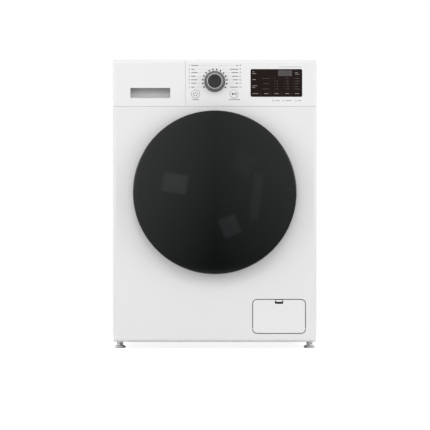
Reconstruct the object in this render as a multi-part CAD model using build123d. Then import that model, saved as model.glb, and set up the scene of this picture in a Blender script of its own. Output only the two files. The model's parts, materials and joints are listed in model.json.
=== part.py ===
from build123d import *

import math
import os

# A front load washing machine, as an assembly of separate pieces, in millimetres. +Z is up and the front
# faces -Y. Every piece is drawn with y = 0 on the cabinet's front face, so y is the depth behind that face.
# The pieces are moved together when they are written, so that the origin is on the floor, under the middle
# of the whole machine.

# Cabinet
WIDTH = 598.0
DEPTH = 565.0
FOOT_GAP = 20.6
SHEET = 1.0
SEAM = 0.5
EDGE_ROUND = 10.0
WRAP = 26.0
WORKTOP = 20.0
PRESSING = 4.0
FLANGE = 14.0
COLLAR = 12.0
COVER_WIDTH = 340.0
COVER_HEIGHT = 420.0
SCREW_RADIUS = 2.0
TRANSIT_RADIUS = 11.8
TRANSIT_SPREAD = 150.0

# Tub and drum. The drum sets the machine's height.
TUB_SIDE_GAP = 32.0
TUB_WALL = 5.0
UNDER_TUB = 194.0
OVER_TUB = 124.0
FRONT_SPACE = 78.0
REAR_SPACE = 140.0
DRUM_GAP = 14.0
DRUM_SHEET = 1.0
BOUNCE = 12.0
LIFTER_HEIGHT = 52.0
LIFTER_WIDTH = 58.0
LIFTER_FRONT = 40.0
LIFTER_REAR = 24.0
COUNTERWEIGHT = 42.0
SHAFT_RADIUS = 15.0
HUB_RADIUS = 46.0
SPIDER_HUB = 24.0
SPIDER_DEPTH = 26.0
SPIDER_ROOT = 44.0
SPIDER_TIP = 26.0
SPIDER_ARM = 14.0
SPIDER_GAP = 8.0
PULLEY_RADIUS = 140.0
PULLEY_WIDTH = 20.0
BELT_THICK = 4.5
BELT_WIDTH = 14.0
RUNNING = 0.05
CLEAR = 0.3

# Control panel
PANEL_HEIGHT = 137.8
PANEL_WALL = 3.0
DRAWER_SEAM = 86.2
HANDLE_WIDTH = 117.0
HANDLE_HEIGHT = 30.8
HANDLE_DEPTH = 20.0
HANDLE_DROP = 98.6
HANDLE_SHIFT = 3.3
KNOB_RADIUS = 31.0
KNOB_PROUD = 24.0
KNOB_DROP = 64.2
BUTTON_RADIUS = 12.8
BUTTON_SPREAD = 56.8
BUTTON_DROP = 100.8
BUTTON_TRAVEL = 1.2
DISPLAY_WIDTH = 151.6
DISPLAY_HEIGHT = 81.4
DISPLAY_MARGIN = 42.2
DISPLAY_DROP = 68.6
DISPLAY_ROUND = 4.0
DISPLAY_LEDGE = 4.0
GLASS_SHEET = 2.5
STALK_RADIUS = 3.0
BOARD_SHEET = 1.6
SWITCH_DEPTH = 6.0
SWITCH_WIDTH = 8.0

# Detergent drawer
TRAY_LENGTH = 245.0
TRAY_WALL = 2.5
TRAY_CLEAR = 3.0
HOUSING_LENGTH = 292.0

# Door
DOOR_MARGIN = 59.5
DOOR_PROUD = 62.0
DOOR_STANDOFF = 14.0
DOOR_RIM = 22.0
DOOR_ROUND = 5.0
DOOR_OVERLAP = 67.5
COVER_WALL = 3.5
DOOR_GLASS_WALL = 4.0
DOOR_GLASS_DEPTH = 96.0
HINGE_INSET = 19.0
HINGE_FORWARD = 27.0
PIN_RADIUS = 4.0
KNUCKLE_RADIUS = 6.5
HINGE_NOTCH = 34.0
HINGE_NECK = 22.0
HINGE_ROOM = 62.0
LUG_INNER = 38.0
LUG_HEIGHT = 12.0
HOOK_WIDTH = 8.0
HOOK_HEIGHT = 12.0
HOOK_REACH = 22.0
HOOK_PIN = 2.0

# Filter flap and drain pump
FLAP_WIDTH = 153.0
FLAP_HEIGHT = 97.8
FLAP_MARGIN = 33.5
FLAP_RISE = 46.8
FLAP_ROUND = 12.0
FLAP_GAP = 2.2
FLAP_THICK = 2.4
NOTCH_WIDTH = 24.5
NOTCH_HEIGHT = 12.0
NOTCH_GAP = 3.5
PUMP_RADIUS = 36.0
PUMP_LENGTH = 146.0
PUMP_MOTOR = 44.0
PUMP_WALL = 4.0
IMPELLER_ROOM = 21.0
SADDLE_SETBACK = 38.0
SADDLE_LENGTH = 50.0
FILTER_RADIUS = 29.5
CAP_PROUD = 8.0
CAP_LENGTH = 14.0
PLUG_LENGTH = 24.0
PLUG_INSET = 3.0
BASKET_LENGTH = 78.0
BASKET_INSET = 6.0
BASKET_WALL = 2.0
GRIP_PROUD = 8.0
GRIP_WIDTH = 10.0
SLOT_START = 26.0
SLOT_PITCH = 11.0
SLOT_WIDTH = 5.0
SLOT_HEIGHT = 24.0
PIVOT_RADIUS = 2.0
PIVOT_REACH = 3.0
PUMP_EYE = 15.0
PUMP_SHAFT = 28.0
PUMP_SPIGOT = 22.0
PUMP_OUTFLOW = 16.0
IMPELLER_GAP = 3.0
BLADE_LENGTH = 14.0
BLADE_SHEET = 2.0
IMPELLER_HUB = 7.0
IMPELLER_LENGTH = 16.0

# Feet and suspension
FOOT_INSET = 18.4
FOOT_SETBACK = 30.0
FOOT_PAD_RADIUS = 17.3
FOOT_PAD_HEIGHT = 8.5
STEM_RADIUS = 5.0
NUT_FLATS = 19.0
DAMPER_RADIUS = 17.5
DAMPER_ROD = 8.0
DAMPER_STROKE = 60.0
DAMPER_WALL = 3.5
DAMPER_FLOOR = 6.0
DAMPER_LID = 5.0
COIL_RADIUS = 16.0
COIL_WIRE = 2.0
COIL_TURNS = 11
COIL_TAIL = 8.0
CHANNEL_WIDTH = 32.0
CHANNEL_HEIGHT = 30.0
CHANNEL_WALL = 2.0

# Motor, heater and water connections
MOTOR_RADIUS = 62.0
MOTOR_LENGTH = 130.0
MOTOR_X = -95.0
MOTOR_PULLEY_RADIUS = 11.0
MOTOR_SHAFT = 7.0
MOTOR_SADDLE_WIDTH = 56.0
MOTOR_SADDLE_LENGTH = 60.0
MOTOR_SADDLE_SETBACK = 40.0
HEATER_TUBE = 4.0
TROUGH_X0 = 5.0
TROUGH_X1 = 115.0
INLET_RADIUS = 13.2
INLET_LENGTH = 21.5
DRAIN_RADIUS = 10.9
DRAIN_LENGTH = 19.5
GLAND_BORE = 4.5
GLAND_DEPTH = 25.0
GLAND_WALL = 3.5
GLAND_FLANGE = 9.0
GLAND_PROUD = 3.0
GLAND_NUT = 8.0
GLAND_NUT_LENGTH = 6.0
GLAND_REACH = 32.0
HOSE_WALL = 2.2
HOSE_STRAIGHT = 20.0
DRAIN_STRAIGHT = 12.0
SPOUT_RADIUS = 16.0
SPOUT_LENGTH = 15.0
SUMP_RADIUS = 18.0
SUMP_NECK = 15.0
SPIGOT_WALL = 3.0
NOZZLE_RADIUS = 6.0
NOZZLE_BORE = 4.0
NOZZLE_LENGTH = 18.0
HOUSING_NOZZLE = 14.0
VALVE_WIDTH = 38.0
VALVE_HEIGHT = 32.0
VALVE_DEPTH = 48.0
REAR_FLANGE = 4.0
SOLENOID_WIDTH = 30.0
SOLENOID_LENGTH = 28.0
SOLENOID_SETBACK = 12.0
OUTLET_REACH = 30.0
OUTLET_FLANGE = 9.0
PANEL_STEP = 0.5

# Places that follow from the sizes above
HALF = WIDTH / 2
INSIDE = HALF - SHEET
TUB_RADIUS = INSIDE - TUB_SIDE_GAP
TUB_INSIDE = TUB_RADIUS - TUB_WALL
DRUM_RADIUS = TUB_INSIDE - DRUM_GAP
DRUM_INSIDE = DRUM_RADIUS - DRUM_SHEET
AXIS_Z = UNDER_TUB + TUB_RADIUS
HEIGHT = AXIS_Z + TUB_RADIUS + OVER_TUB
PANEL_Z = HEIGHT - PANEL_HEIGHT
SEAM_X = -DRAWER_SEAM
WORKTOP_Z = HEIGHT - WORKTOP
BACK = WRAP + SEAM
REAR = DEPTH - SHEET

TUB_FRONT = FRONT_SPACE
TUB_BACK = DEPTH - REAR_SPACE
TUB_SPLIT = (TUB_FRONT + TUB_BACK) / 2
DRUM_FRONT = TUB_FRONT + TUB_WALL + 14
DRUM_BACK = TUB_BACK - TUB_WALL - 36
HUB_BACK = TUB_BACK + 46
PULLEY_Y = HUB_BACK + 8

DOOR_RADIUS = HALF - DOOR_MARGIN
MOUTH = DOOR_RADIUS - DOOR_OVERLAP
TUB_MOUTH = MOUTH - 6
DRUM_MOUTH = MOUTH - 8
GLASS_RADIUS = MOUTH - 25
RIM_BACK = -DOOR_STANDOFF
RIM_FRONT = RIM_BACK - DOOR_RIM
FRAME_FRONT = RIM_BACK + 1
HINGE_X = HINGE_INSET - DOOR_RADIUS
HINGE_Y = -HINGE_FORWARD
HOOK_X = MOUTH + 16
HOOK_PIVOT_Y = -9.0

KNOB_Z = HEIGHT - KNOB_DROP
BUTTON_Z = HEIGHT - BUTTON_DROP
DISPLAY_X = HALF - DISPLAY_MARGIN - DISPLAY_WIDTH / 2
DISPLAY_Z = HEIGHT - DISPLAY_DROP
DRAWER_X = (SEAM_X - HALF) / 2
HANDLE_X = DRAWER_X + HANDLE_SHIFT
HANDLE_Z = HEIGHT - HANDLE_DROP
BOARD_Y = WRAP - 6
HOUSING_LEFT = -INSIDE + FLANGE
HOUSING_RIGHT = SEAM_X - 24
HOUSING_Z0 = PANEL_Z + 17
HOUSING_Z1 = WORKTOP_Z - 4
HOUSING_BACK = WRAP + HOUSING_LENGTH

FLAP_X = HALF - FLAP_MARGIN - FLAP_WIDTH / 2
FLAP_Z = FLAP_RISE + FLAP_HEIGHT / 2
FLAP_AXIS_Z = FLAP_RISE + FLAP_ROUND + 1
FLAP_AXIS_Y = FLAP_THICK + 2
BEZEL_BACK = 22.0
PUMP_BACK = BEZEL_BACK + PUMP_LENGTH
CHAMBER_Y = PUMP_BACK - PUMP_WALL - IMPELLER_ROOM
SUMP_X = 60.0
SUMP_Y = TUB_FRONT + 42
TROUGH_FLOOR = UNDER_TUB - 28
TROUGH_FRONT = TUB_FRONT + 15
OUTFLOW_Y = CHAMBER_Y + IMPELLER_ROOM / 2
DRAIN_X = HALF - 37

FLOOR_TOP = FOOT_GAP + 4
FOOT_NECK = FOOT_PAD_HEIGHT + (FOOT_GAP - FOOT_PAD_HEIGHT) / 2
FOOT_X = HALF - FOOT_INSET
FOOT_YS = (BACK + FOOT_SETBACK, DEPTH - FOOT_SETBACK)
DAMPER_X = TUB_RADIUS - 64
DAMPER_Y = PUMP_BACK + PUMP_MOTOR + DAMPER_RADIUS + 22
DAMPER_SEAT = FLOOR_TOP + 30
LUG_Z = AXIS_Z - math.sqrt(TUB_RADIUS**2 - DAMPER_X**2) - 34
SPRING_X = TUB_RADIUS - 30
SPRING_Y = HOUSING_BACK + 30
CROSSBAR_Z = WORKTOP_Z - 35
SPRING_LUG_Z = AXIS_Z + math.sqrt(TUB_RADIUS**2 - SPRING_X**2) + 34
MOTOR_Z = UNDER_TUB - 8 - MOTOR_RADIUS
MOTOR_BACK = PULLEY_Y - 22
MOTOR_SADDLE_BACK = MOTOR_BACK - MOTOR_SADDLE_SETBACK
MOTOR_SADDLE_FRONT = MOTOR_SADDLE_BACK - MOTOR_SADDLE_LENGTH
MOTOR_SADDLE_TOP = UNDER_TUB + 2
FILL_X = -172.0
FILL_Y = HOUSING_BACK - 32
FILL_NECK_Z = HOUSING_Z0 - SPOUT_LENGTH - BOUNCE - 6
INLET_X = -170.0
INLET_Z = WORKTOP_Z - 65
GLAND_X = 180.0
GLAND_Z = WORKTOP_Z - 90
REAR_PROUD = INLET_LENGTH + PANEL_STEP
COVER_EDGE = COVER_WIDTH / 2 - 10
COVER_ENDS = COVER_HEIGHT / 2 - 20
SCREW_PLACES = [(x, AXIS_Z + z) for x in (-COVER_EDGE, COVER_EDGE) for z in (-COVER_ENDS, 0, COVER_ENDS)]
TRANSIT_X = COVER_WIDTH / 2 + 40
TRANSIT_PLACES = [(x, AXIS_Z + z) for x in (-TRANSIT_X, TRANSIT_X) for z in (-TRANSIT_SPREAD, TRANSIT_SPREAD)]


# Drawing helpers


def block(x0, x1, y0, y1, z0, z1):
    """A box from one corner to the other."""
    return Pos((x0 + x1) / 2, (y0 + y1) / 2, (z0 + z1) / 2) * Box(x1 - x0, y1 - y0, z1 - z0)


def post(x, y, z0, z1, radius):
    """A round bar along Z."""
    return Pos(x, y, (z0 + z1) / 2) * Cylinder(radius, z1 - z0)


def rod(x, z, y0, y1, radius):
    """A round bar along Y."""
    return Pos(x, (y0 + y1) / 2, z) * Rot(90, 0, 0) * Cylinder(radius, y1 - y0)


def bar(y, z, x0, x1, radius):
    """A round bar along X."""
    return Pos((x0 + x1) / 2, y, z) * Rot(0, 90, 0) * Cylinder(radius, x1 - x0)


def plate(outline, x, z, y0, y1, taper=0):
    """An outline in X and Z, drawn at y1 and drawn out forwards to y0."""
    plane = Plane(origin=(x, y1, z), x_dir=(1, 0, 0), z_dir=(0, -1, 0))
    return extrude(plane * outline, amount=y1 - y0, taper=taper)


def hex_bar(x, y, z0, z1, flats):
    """A hexagonal bar along Z, with a flat to the front."""
    corner = flats / math.sqrt(3)
    return Pos(x, y, z0) * extrude(Rot(0, 0, 30) * RegularPolygon(corner, 6), amount=z1 - z0)


def turned(points, x=0.0, z=AXIS_Z, rounds=0.0, arc=360.0, start=0.0):
    """A ring turned about the line along Y through x and z, from points of radius and depth."""
    face = make_face(Polyline(*points, close=True))
    if rounds:
        face = fillet([v for v in face.vertices() if v.X > 1], rounds)
    c, s = math.cos(math.radians(start)), math.sin(math.radians(start))
    plane = Plane(origin=(x, 0, z), x_dir=(c, 0, s), z_dir=(-s, 0, c))
    return revolve(plane * face, Axis((x, 0, z), (0, -1, 0)), arc)


def ring(y0, y1, inside, outside, x=0.0, z=AXIS_Z):
    """A plain ring along Y, about the drum's axis unless it is given another."""
    return turned([(inside, y0), (outside, y0), (outside, y1), (inside, y1)], x, z)


def bent(points, wall):
    """The outline of a bent sheet: its points, then back along a line one wall to their left."""
    shifted = []
    for i, (a, b) in enumerate(points):
        before = points[max(i - 1, 0)]
        after = points[min(i + 1, len(points) - 1)]
        turns = []
        for (p, q), (s, t) in (((before), (a, b)), ((a, b), (after))):
            length = math.hypot(s - p, t - q)
            if length > 0:
                turns.append((-(t - q) / length, (s - p) / length))
        nx = sum(n[0] for n in turns)
        ny = sum(n[1] for n in turns)
        stretch = wall * len(turns) / (nx * nx + ny * ny)
        shifted.append((a + nx * stretch, b + ny * stretch))
    return [*points, *reversed(shifted)]


def front_edges(solid, sides, top=False, bottom=False):
    """The edges of a front piece that are rounded: its upright front edges, and its top or bottom one."""
    uprights = solid.edges().filter_by(Axis.Z).group_by(Axis.Y)[0].sort_by(Axis.X)
    across = solid.edges().filter_by(Axis.X).group_by(Axis.Y)[0].sort_by(Axis.Z)
    corners = solid.edges().filter_by(Axis.Y).group_by(Axis.Z)[-1].sort_by(Axis.X)
    picked = [uprights[i] for i in sides]
    if top:
        picked += [across[-1], *[corners[i] for i in sides]]
    if bottom:
        picked.append(across[0])
    return picked


def pan(x0, x1, z0, z1, depth, wall, sides, top=False, bottom=False):
    """A shallow pressed or moulded front piece: a front wall with its edges turned back to a depth."""
    outer = block(x0, x1, 0, depth, z0, z1)
    outer = fillet(front_edges(outer, sides, top, bottom), EDGE_ROUND)
    inner = block(x0 + wall, x1 - wall, wall, depth + 1, z0 + wall, z1 - wall)
    inner = fillet(front_edges(inner, sides, top, bottom), EDGE_ROUND - wall)
    return outer - inner


def both_sides(solid):
    """A solid and its mirror image across the machine's middle, as a list."""
    return [solid, mirror(solid, about=Plane.YZ)]


def curl(start, tangent, end, leaving):
    """Two arcs that join two points smoothly, leaving and arriving along the given directions."""
    start, end = Vector(*start), Vector(*end)
    tangent, leaving = Vector(*tangent).normalized(), Vector(*leaving).normalized()
    across = end - start
    both = tangent + leaving
    spread = 2 * (1 - tangent.dot(leaving))
    reach = (-across.dot(both) + math.sqrt(across.dot(both) ** 2 + spread * across.dot(across))) / spread
    middle = (start + end + (tangent - leaving) * reach) * 0.5
    first = Edge.make_tangent_arc(start, tangent, middle)
    return [first, Edge.make_tangent_arc(middle, first % 1, end)]


# Cabinet


def side_panel():
    """The right side: a sheet with a flange at the front, and a field pressed inwards for stiffness."""
    z0, z1 = FOOT_GAP, WORKTOP_Z - SEAM
    panel = block(INSIDE, HALF, BACK, DEPTH, z0, z1)
    panel += block(HALF - FLANGE, INSIDE, BACK, BACK + SHEET, z0 + 60, z1)
    field = RectangleRounded(DEPTH - BACK - 90, z1 - z0 - 130, 30)
    outside = Plane(origin=(HALF, (BACK + DEPTH) / 2, (z0 + z1) / 2), x_dir=(0, 1, 0), z_dir=(-1, 0, 0))
    inside = outside.offset(SHEET)
    panel += extrude(inside * field, amount=PRESSING, taper=45)
    panel -= extrude(outside * field, amount=PRESSING, taper=45)
    return panel


def rear_panel():
    """The back sheet, with the service opening and the holes for what comes through it."""
    z1 = WORKTOP_Z - SEAM
    panel = block(-INSIDE, INSIDE, REAR, DEPTH, FOOT_GAP, z1)
    panel -= plate(RectangleRounded(COVER_WIDTH - 40, COVER_HEIGHT - 40, 20), 0, AXIS_Z, REAR - 1, DEPTH + 1)
    for x, z in SCREW_PLACES:
        panel -= rod(x, z, REAR - 1, DEPTH + 1, SCREW_RADIUS + CLEAR)
    for x, z in TRANSIT_PLACES:
        panel -= rod(x, z, REAR - 1, DEPTH + 1, TRANSIT_RADIUS + CLEAR)
    panel -= rod(INLET_X, INLET_Z, REAR - 1, DEPTH + 1, INLET_RADIUS)
    panel -= rod(DRAIN_X, FLAP_Z, REAR - 1, DEPTH + 1, DRAIN_RADIUS)
    panel -= rod(GLAND_X, GLAND_Z, REAR - 1, DEPTH + 1, GLAND_BORE + GLAND_WALL + 0.5)
    return panel


def rear_cover():
    """The service cover: a sheet screwed over the opening, its middle pressed outwards."""
    cover = plate(RectangleRounded(COVER_WIDTH, COVER_HEIGHT, 16), 0, AXIS_Z, DEPTH, DEPTH + SHEET)
    field = RectangleRounded(COVER_WIDTH - 60, COVER_HEIGHT - 60, 30)
    outside = Plane(origin=(0, DEPTH + SHEET, AXIS_Z), x_dir=(1, 0, 0), z_dir=(0, 1, 0))
    cover += extrude(outside * field, amount=2 * PRESSING, taper=45)
    cover -= extrude(outside.offset(-SHEET) * field, amount=2 * PRESSING, taper=45)
    for x, z in SCREW_PLACES:
        cover -= rod(x, z, DEPTH - 1, DEPTH + 2 * SHEET, SCREW_RADIUS + CLEAR)
    return cover


def cabinet_screws():
    """The pan head screws of the service cover."""
    screws = []
    for x, z in SCREW_PLACES:
        shank = rod(x, z, DEPTH - 8, DEPTH + SHEET, SCREW_RADIUS)
        head = rod(x, z, DEPTH + SHEET, DEPTH + SHEET + 2.4, 2.2 * SCREW_RADIUS)
        head = fillet(head.edges().group_by(Axis.Y)[-1], 0.9)
        slot = block(x - 3, x + 3, DEPTH + SHEET + 1.5, DEPTH + SHEET + 3, z - 0.5, z + 0.5)
        cross = block(x - 0.5, x + 0.5, DEPTH + SHEET + 1.5, DEPTH + SHEET + 3, z - 3, z + 3)
        screws.append(shank + head - slot - cross)
    return Compound(screws)


def transit_caps():
    """The plastic caps that close the transit bolt holes."""
    caps = []
    for x, z in TRANSIT_PLACES:
        r = TRANSIT_RADIUS
        profile = [(0, REAR - 10), (r - 2, REAR - 10), (r, REAR), (r, DEPTH)]
        profile += [(r + 5, DEPTH), (r + 4, DEPTH + 3), (0, DEPTH + 3)]
        caps.append(turned(profile, x, z))
    return Compound(caps)


def top_cover():
    """The worktop, with its upper and rear edges rounded."""
    board = block(-HALF, HALF, BACK, DEPTH, WORKTOP_Z, HEIGHT)
    board = fillet(board.edges().filter_by(Axis.Z).group_by(Axis.Y)[-1], EDGE_ROUND)
    rims = board.edges().group_by(Axis.Z)[-1]
    return fillet([e for e in rims if e.center().Y > BACK + 1], WORKTOP / 5)


def front_panel():
    """The pressed front, wrapped round to the sides, with the door mouth, flap opening and latch slot."""
    z1 = PANEL_Z - SEAM / 2
    panel = pan(-HALF, HALF, FOOT_GAP, z1, WRAP, SHEET, (0, 1), bottom=True)
    panel += ring(0, COLLAR, MOUTH, MOUTH + SHEET)
    panel -= rod(0, AXIS_Z, -1, SHEET + 1, MOUTH)
    opening = RectangleRounded(FLAP_WIDTH + 2 * FLAP_GAP, FLAP_HEIGHT + 2 * FLAP_GAP, FLAP_ROUND + FLAP_GAP)
    panel -= plate(opening, FLAP_X, FLAP_Z, -1, SHEET + 1)
    panel -= block(HOOK_X - 8, HOOK_X + 14, -1, SHEET + 1, AXIS_Z - 10, AXIS_Z + 10)
    return panel


def base_tray():
    """The base: a walled tray with bosses for the feet and dampers, and a saddle under the pump."""
    z0, z1 = FOOT_GAP, FOOT_GAP + 40
    tray = block(-INSIDE, INSIDE, BACK, REAR, z0, z1)
    tray -= block(-INSIDE + 4, INSIDE - 4, BACK + 4, REAR - 4, FLOOR_TOP, z1 + 1)
    for x in (-FOOT_X, FOOT_X):
        for y in FOOT_YS:
            tray += post(x, y, FLOOR_TOP, FLOOR_TOP + 20, 3 * STEM_RADIUS)
            tray -= post(x, y, z0 - 1, FLOOR_TOP + 21, STEM_RADIUS + RUNNING)
    for x in (-DAMPER_X, DAMPER_X):
        tray += post(x, DAMPER_Y, FLOOR_TOP, DAMPER_SEAT, DAMPER_RADIUS + 4)
    y0 = BEZEL_BACK + SADDLE_SETBACK
    y1 = y0 + SADDLE_LENGTH
    saddle = block(FLAP_X - 22, FLAP_X + 22, y0, y1, FLOOR_TOP, FLAP_Z - PUMP_RADIUS + 12)
    tray += saddle - rod(FLAP_X, FLAP_Z, y0 - 1, y1 + 1, PUMP_RADIUS + RUNNING)
    tray -= rod(FLAP_X, FLAP_Z, BACK - 1, BACK + 5, PUMP_RADIUS + CLEAR)
    for x in (-150, -75, 0, 75):
        for y in (0.3, 0.5, 0.7):
            vent = Pos(x, BACK + y * (REAR - BACK), 0) * SlotOverall(50, 9)
            tray -= extrude(Pos(0, 0, z0 - 1) * vent, amount=6)
    return tray


def top_crossbar():
    """The channel across the top that ties the sides together and carries the suspension springs."""
    half, room = CHANNEL_WIDTH / 2, CHANNEL_WIDTH / 2 - CHANNEL_WALL
    floor, top = CROSSBAR_Z + CHANNEL_WALL, CROSSBAR_Z + CHANNEL_HEIGHT
    channel = block(-INSIDE, INSIDE, SPRING_Y - half, SPRING_Y + half, CROSSBAR_Z, top)
    channel -= block(-HALF, HALF, SPRING_Y - room, SPRING_Y + room, floor, top + 1)
    hole = COIL_WIRE + CLEAR
    for x in (-SPRING_X, SPRING_X):
        channel -= post(x + COIL_RADIUS, SPRING_Y + COIL_TAIL, CROSSBAR_Z - 1, floor + 1, hole)
    return channel


def foot(x, y):
    """A levelling foot: a flared pad, a hexagon to turn it by, and a stem up through the base."""
    pad = [(0, 0), (FOOT_PAD_RADIUS - 3, 0), (FOOT_PAD_RADIUS, 3), (FOOT_PAD_RADIUS, 5)]
    pad += [(FOOT_PAD_RADIUS - 5, FOOT_PAD_HEIGHT), (0, FOOT_PAD_HEIGHT)]
    face = make_face(Polyline(*pad, close=True))
    body = Pos(x, y, 0) * revolve(Plane.XZ * face, Axis.Z)
    body += hex_bar(x, y, FOOT_PAD_HEIGHT - 1, FOOT_NECK, NUT_FLATS - 1)
    return body + post(x, y, FOOT_NECK - 1, FLOOR_TOP + 24, STEM_RADIUS)


def foot_locknuts():
    """The nuts that lock each foot against the base."""
    nuts = []
    for x in (-FOOT_X, FOOT_X):
        for y in FOOT_YS:
            nut = hex_bar(x, y, FOOT_NECK + CLEAR, FOOT_GAP, NUT_FLATS)
            nuts.append(nut - post(x, y, FOOT_NECK, FOOT_GAP + 1, STEM_RADIUS + RUNNING))
    return Compound(nuts)


# Control panel and drawer


def tray_opening(grow=0.0):
    """The inside of the drawer's housing, seen from the front, as left, right, bottom and top."""
    return (
        HOUSING_LEFT + TRAY_WALL - grow,
        HOUSING_RIGHT - TRAY_WALL + grow,
        HOUSING_Z0 + TRAY_WALL - grow,
        HOUSING_Z1 - TRAY_WALL + grow,
    )


def control_fascia():
    """The control panel's moulding, with a plate behind the drawer front, and its holes and posts."""
    x0, z0 = SEAM_X + SEAM / 2, PANEL_Z + SEAM / 2
    shell = pan(x0, HALF, z0, HEIGHT, WRAP, PANEL_WALL, (-1,), top=True)
    left, right, low, high = tray_opening()
    shell += block(-HALF, x0 + 1, WRAP - PANEL_WALL, WRAP, z0, HEIGHT)
    shell -= block(left, right, 0, WRAP + 1, low, high)
    shell -= rod(0, KNOB_Z, -1, PANEL_WALL + 1, STALK_RADIUS + 0.5)
    for x in (-BUTTON_SPREAD, BUTTON_SPREAD):
        shell -= rod(x, BUTTON_Z, -1, PANEL_WALL + 1, BUTTON_RADIUS + CLEAR)
    lap = 2 * DISPLAY_LEDGE
    ledge = RectangleRounded(DISPLAY_WIDTH + lap, DISPLAY_HEIGHT + lap, DISPLAY_ROUND + 2)
    pocket = RectangleRounded(DISPLAY_WIDTH + CLEAR, DISPLAY_HEIGHT + CLEAR, DISPLAY_ROUND + CLEAR / 2)
    window = RectangleRounded(DISPLAY_WIDTH - lap, DISPLAY_HEIGHT - lap, DISPLAY_ROUND - 1)
    shell += plate(ledge, DISPLAY_X, DISPLAY_Z, 1, PANEL_WALL + 2)
    shell -= plate(pocket, DISPLAY_X, DISPLAY_Z, -1, GLASS_SHEET)
    shell -= plate(window, DISPLAY_X, DISPLAY_Z, 0, PANEL_WALL + 3)
    for x in (SEAM_X + 20, HALF - 20):
        for z in (PANEL_Z + 18, HEIGHT - 22):
            shell += rod(x, z, PANEL_WALL - 1, BOARD_Y, 4)
    return shell


def display_window():
    """The black glass of the display and touch keys, set flush in the fascia."""
    outline = RectangleRounded(DISPLAY_WIDTH, DISPLAY_HEIGHT, DISPLAY_ROUND)
    glass = plate(outline, DISPLAY_X, DISPLAY_Z, -CLEAR, GLASS_SHEET)
    return chamfer(glass.faces().sort_by(Axis.Y)[0].edges(), 0.4)


def control_board():
    """The circuit board on the fascia's posts, with the encoder, two switches, the display and relays."""
    board = block(SEAM_X + 14, HALF - 14, BOARD_Y, BOARD_Y + BOARD_SHEET, PANEL_Z + 12, HEIGHT - 16)
    encoder = block(-8, 8, PANEL_WALL + 7, BOARD_Y, KNOB_Z - 8, KNOB_Z + 8)
    board += encoder - rod(0, KNOB_Z, PANEL_WALL, BOARD_Y - 4, STALK_RADIUS + RUNNING)
    half = SWITCH_WIDTH / 2
    for x in (-BUTTON_SPREAD, BUTTON_SPREAD):
        board += block(x - half, x + half, BOARD_Y - SWITCH_DEPTH, BOARD_Y, BUTTON_Z - half, BUTTON_Z + half)
    screen = Rectangle(DISPLAY_WIDTH - 40, DISPLAY_HEIGHT - 28)
    board += plate(screen, DISPLAY_X, DISPLAY_Z, PANEL_WALL + 6, BOARD_Y)
    for x in (30, 75, 120):
        board += block(x, x + 28, BOARD_Y + BOARD_SHEET, BOARD_Y + 17, KNOB_Z - 40, KNOB_Z - 20)
    return board


def program_knob():
    """The programme dial: a dished cap on a sloping skirt, with its stalk back to the encoder."""
    tip = -KNOB_PROUD
    cap = KNOB_RADIUS - 11
    profile = [(0, tip + 1.2), (cap - 5, tip + 0.6), (cap, tip), (cap + 2.6, tip + 2.6)]
    profile += [(KNOB_RADIUS - 2, -5), (KNOB_RADIUS, -3), (KNOB_RADIUS, -0.6), (STALK_RADIUS, -0.6)]
    profile += [(STALK_RADIUS, BOARD_Y - 6), (0, BOARD_Y - 6)]
    knob = turned(profile, 0, KNOB_Z)
    pointer = block(-0.9, 0.9, tip - 1, tip + 0.6 + 0.5, KNOB_Z + cap - 10, KNOB_Z + cap - 3)
    return knob - pointer


def push_button(x):
    """A round push button, flush with the fascia, with the stem that works its switch."""
    back = PANEL_WALL + 2
    end = BOARD_Y - SWITCH_DEPTH - BUTTON_TRAVEL - CLEAR
    profile = [(0, -0.8), (BUTTON_RADIUS - 0.6, -0.8), (BUTTON_RADIUS, -0.2), (BUTTON_RADIUS, back)]
    return turned([*profile, (STALK_RADIUS, back), (STALK_RADIUS, end), (0, end)], x, BUTTON_Z)


def drawer_front():
    """The drawer's front: a moulding as tall as the control panel, with a scooped handle."""
    z0 = PANEL_Z + SEAM / 2
    depth = WRAP - PANEL_WALL - 1
    front = pan(-HALF, SEAM_X - SEAM / 2, z0, HEIGHT, depth, PANEL_WALL, (0,), top=True)
    low, high = HANDLE_Z - HANDLE_HEIGHT / 2, HANDLE_Z + HANDLE_HEIGHT / 2
    wall = TRAY_WALL
    left, right = HANDLE_X - HANDLE_WIDTH / 2, HANDLE_X + HANDLE_WIDTH / 2
    front += block(left - wall, right + wall, 1, HANDLE_DEPTH + wall, low - wall, high + 6 + wall)
    scoop = [(-1, low), (HANDLE_DEPTH * 0.7, low + 7), (HANDLE_DEPTH, low + 16), (HANDLE_DEPTH, high + 6)]
    scoop += [(PANEL_WALL, high + 6), (PANEL_WALL, high), (-1, high)]
    side = Plane(origin=(left, 0, 0), x_dir=(0, 1, 0), z_dir=(1, 0, 0))
    return front - extrude(side * make_face(Polyline(*scoop, close=True)), amount=HANDLE_WIDTH)


def tray_box():
    """The tray's outside, as left, right, front, back, bottom and top."""
    left, right, low, high = tray_opening(-TRAY_CLEAR)
    start = max(HANDLE_DEPTH + TRAY_WALL, WRAP) + 2
    return left, right, start, start + TRAY_LENGTH, low, high - 20


def drawer_tray():
    """The detergent tray: three compartments, and two cheeks that join it to the drawer front."""
    left, right, front, back, low, high = tray_box()
    tray = block(left, right, front, back, low, high)
    for x0, x1, y0, y1 in tray_pockets():
        tray -= block(x0, x1, y0, y1, low + TRAY_WALL, high + 1)
    for x in (left, right - TRAY_WALL):
        tray += block(x, x + TRAY_WALL, PANEL_WALL, front + 1, low, high)
    return tray


def tray_pockets():
    """The compartments inside the tray: one wide one, and a narrow pair side by side."""
    left, right, front, back, low, high = tray_box()
    middle = left + (right - left) * 0.55
    across = front + (back - front) * 0.5
    wall = TRAY_WALL
    return [
        (left + wall, middle - wall / 2, front + wall, back - wall),
        (middle + wall / 2, right - wall, front + wall, across - wall / 2),
        (middle + wall / 2, right - wall, across + wall / 2, back - wall),
    ]


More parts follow.
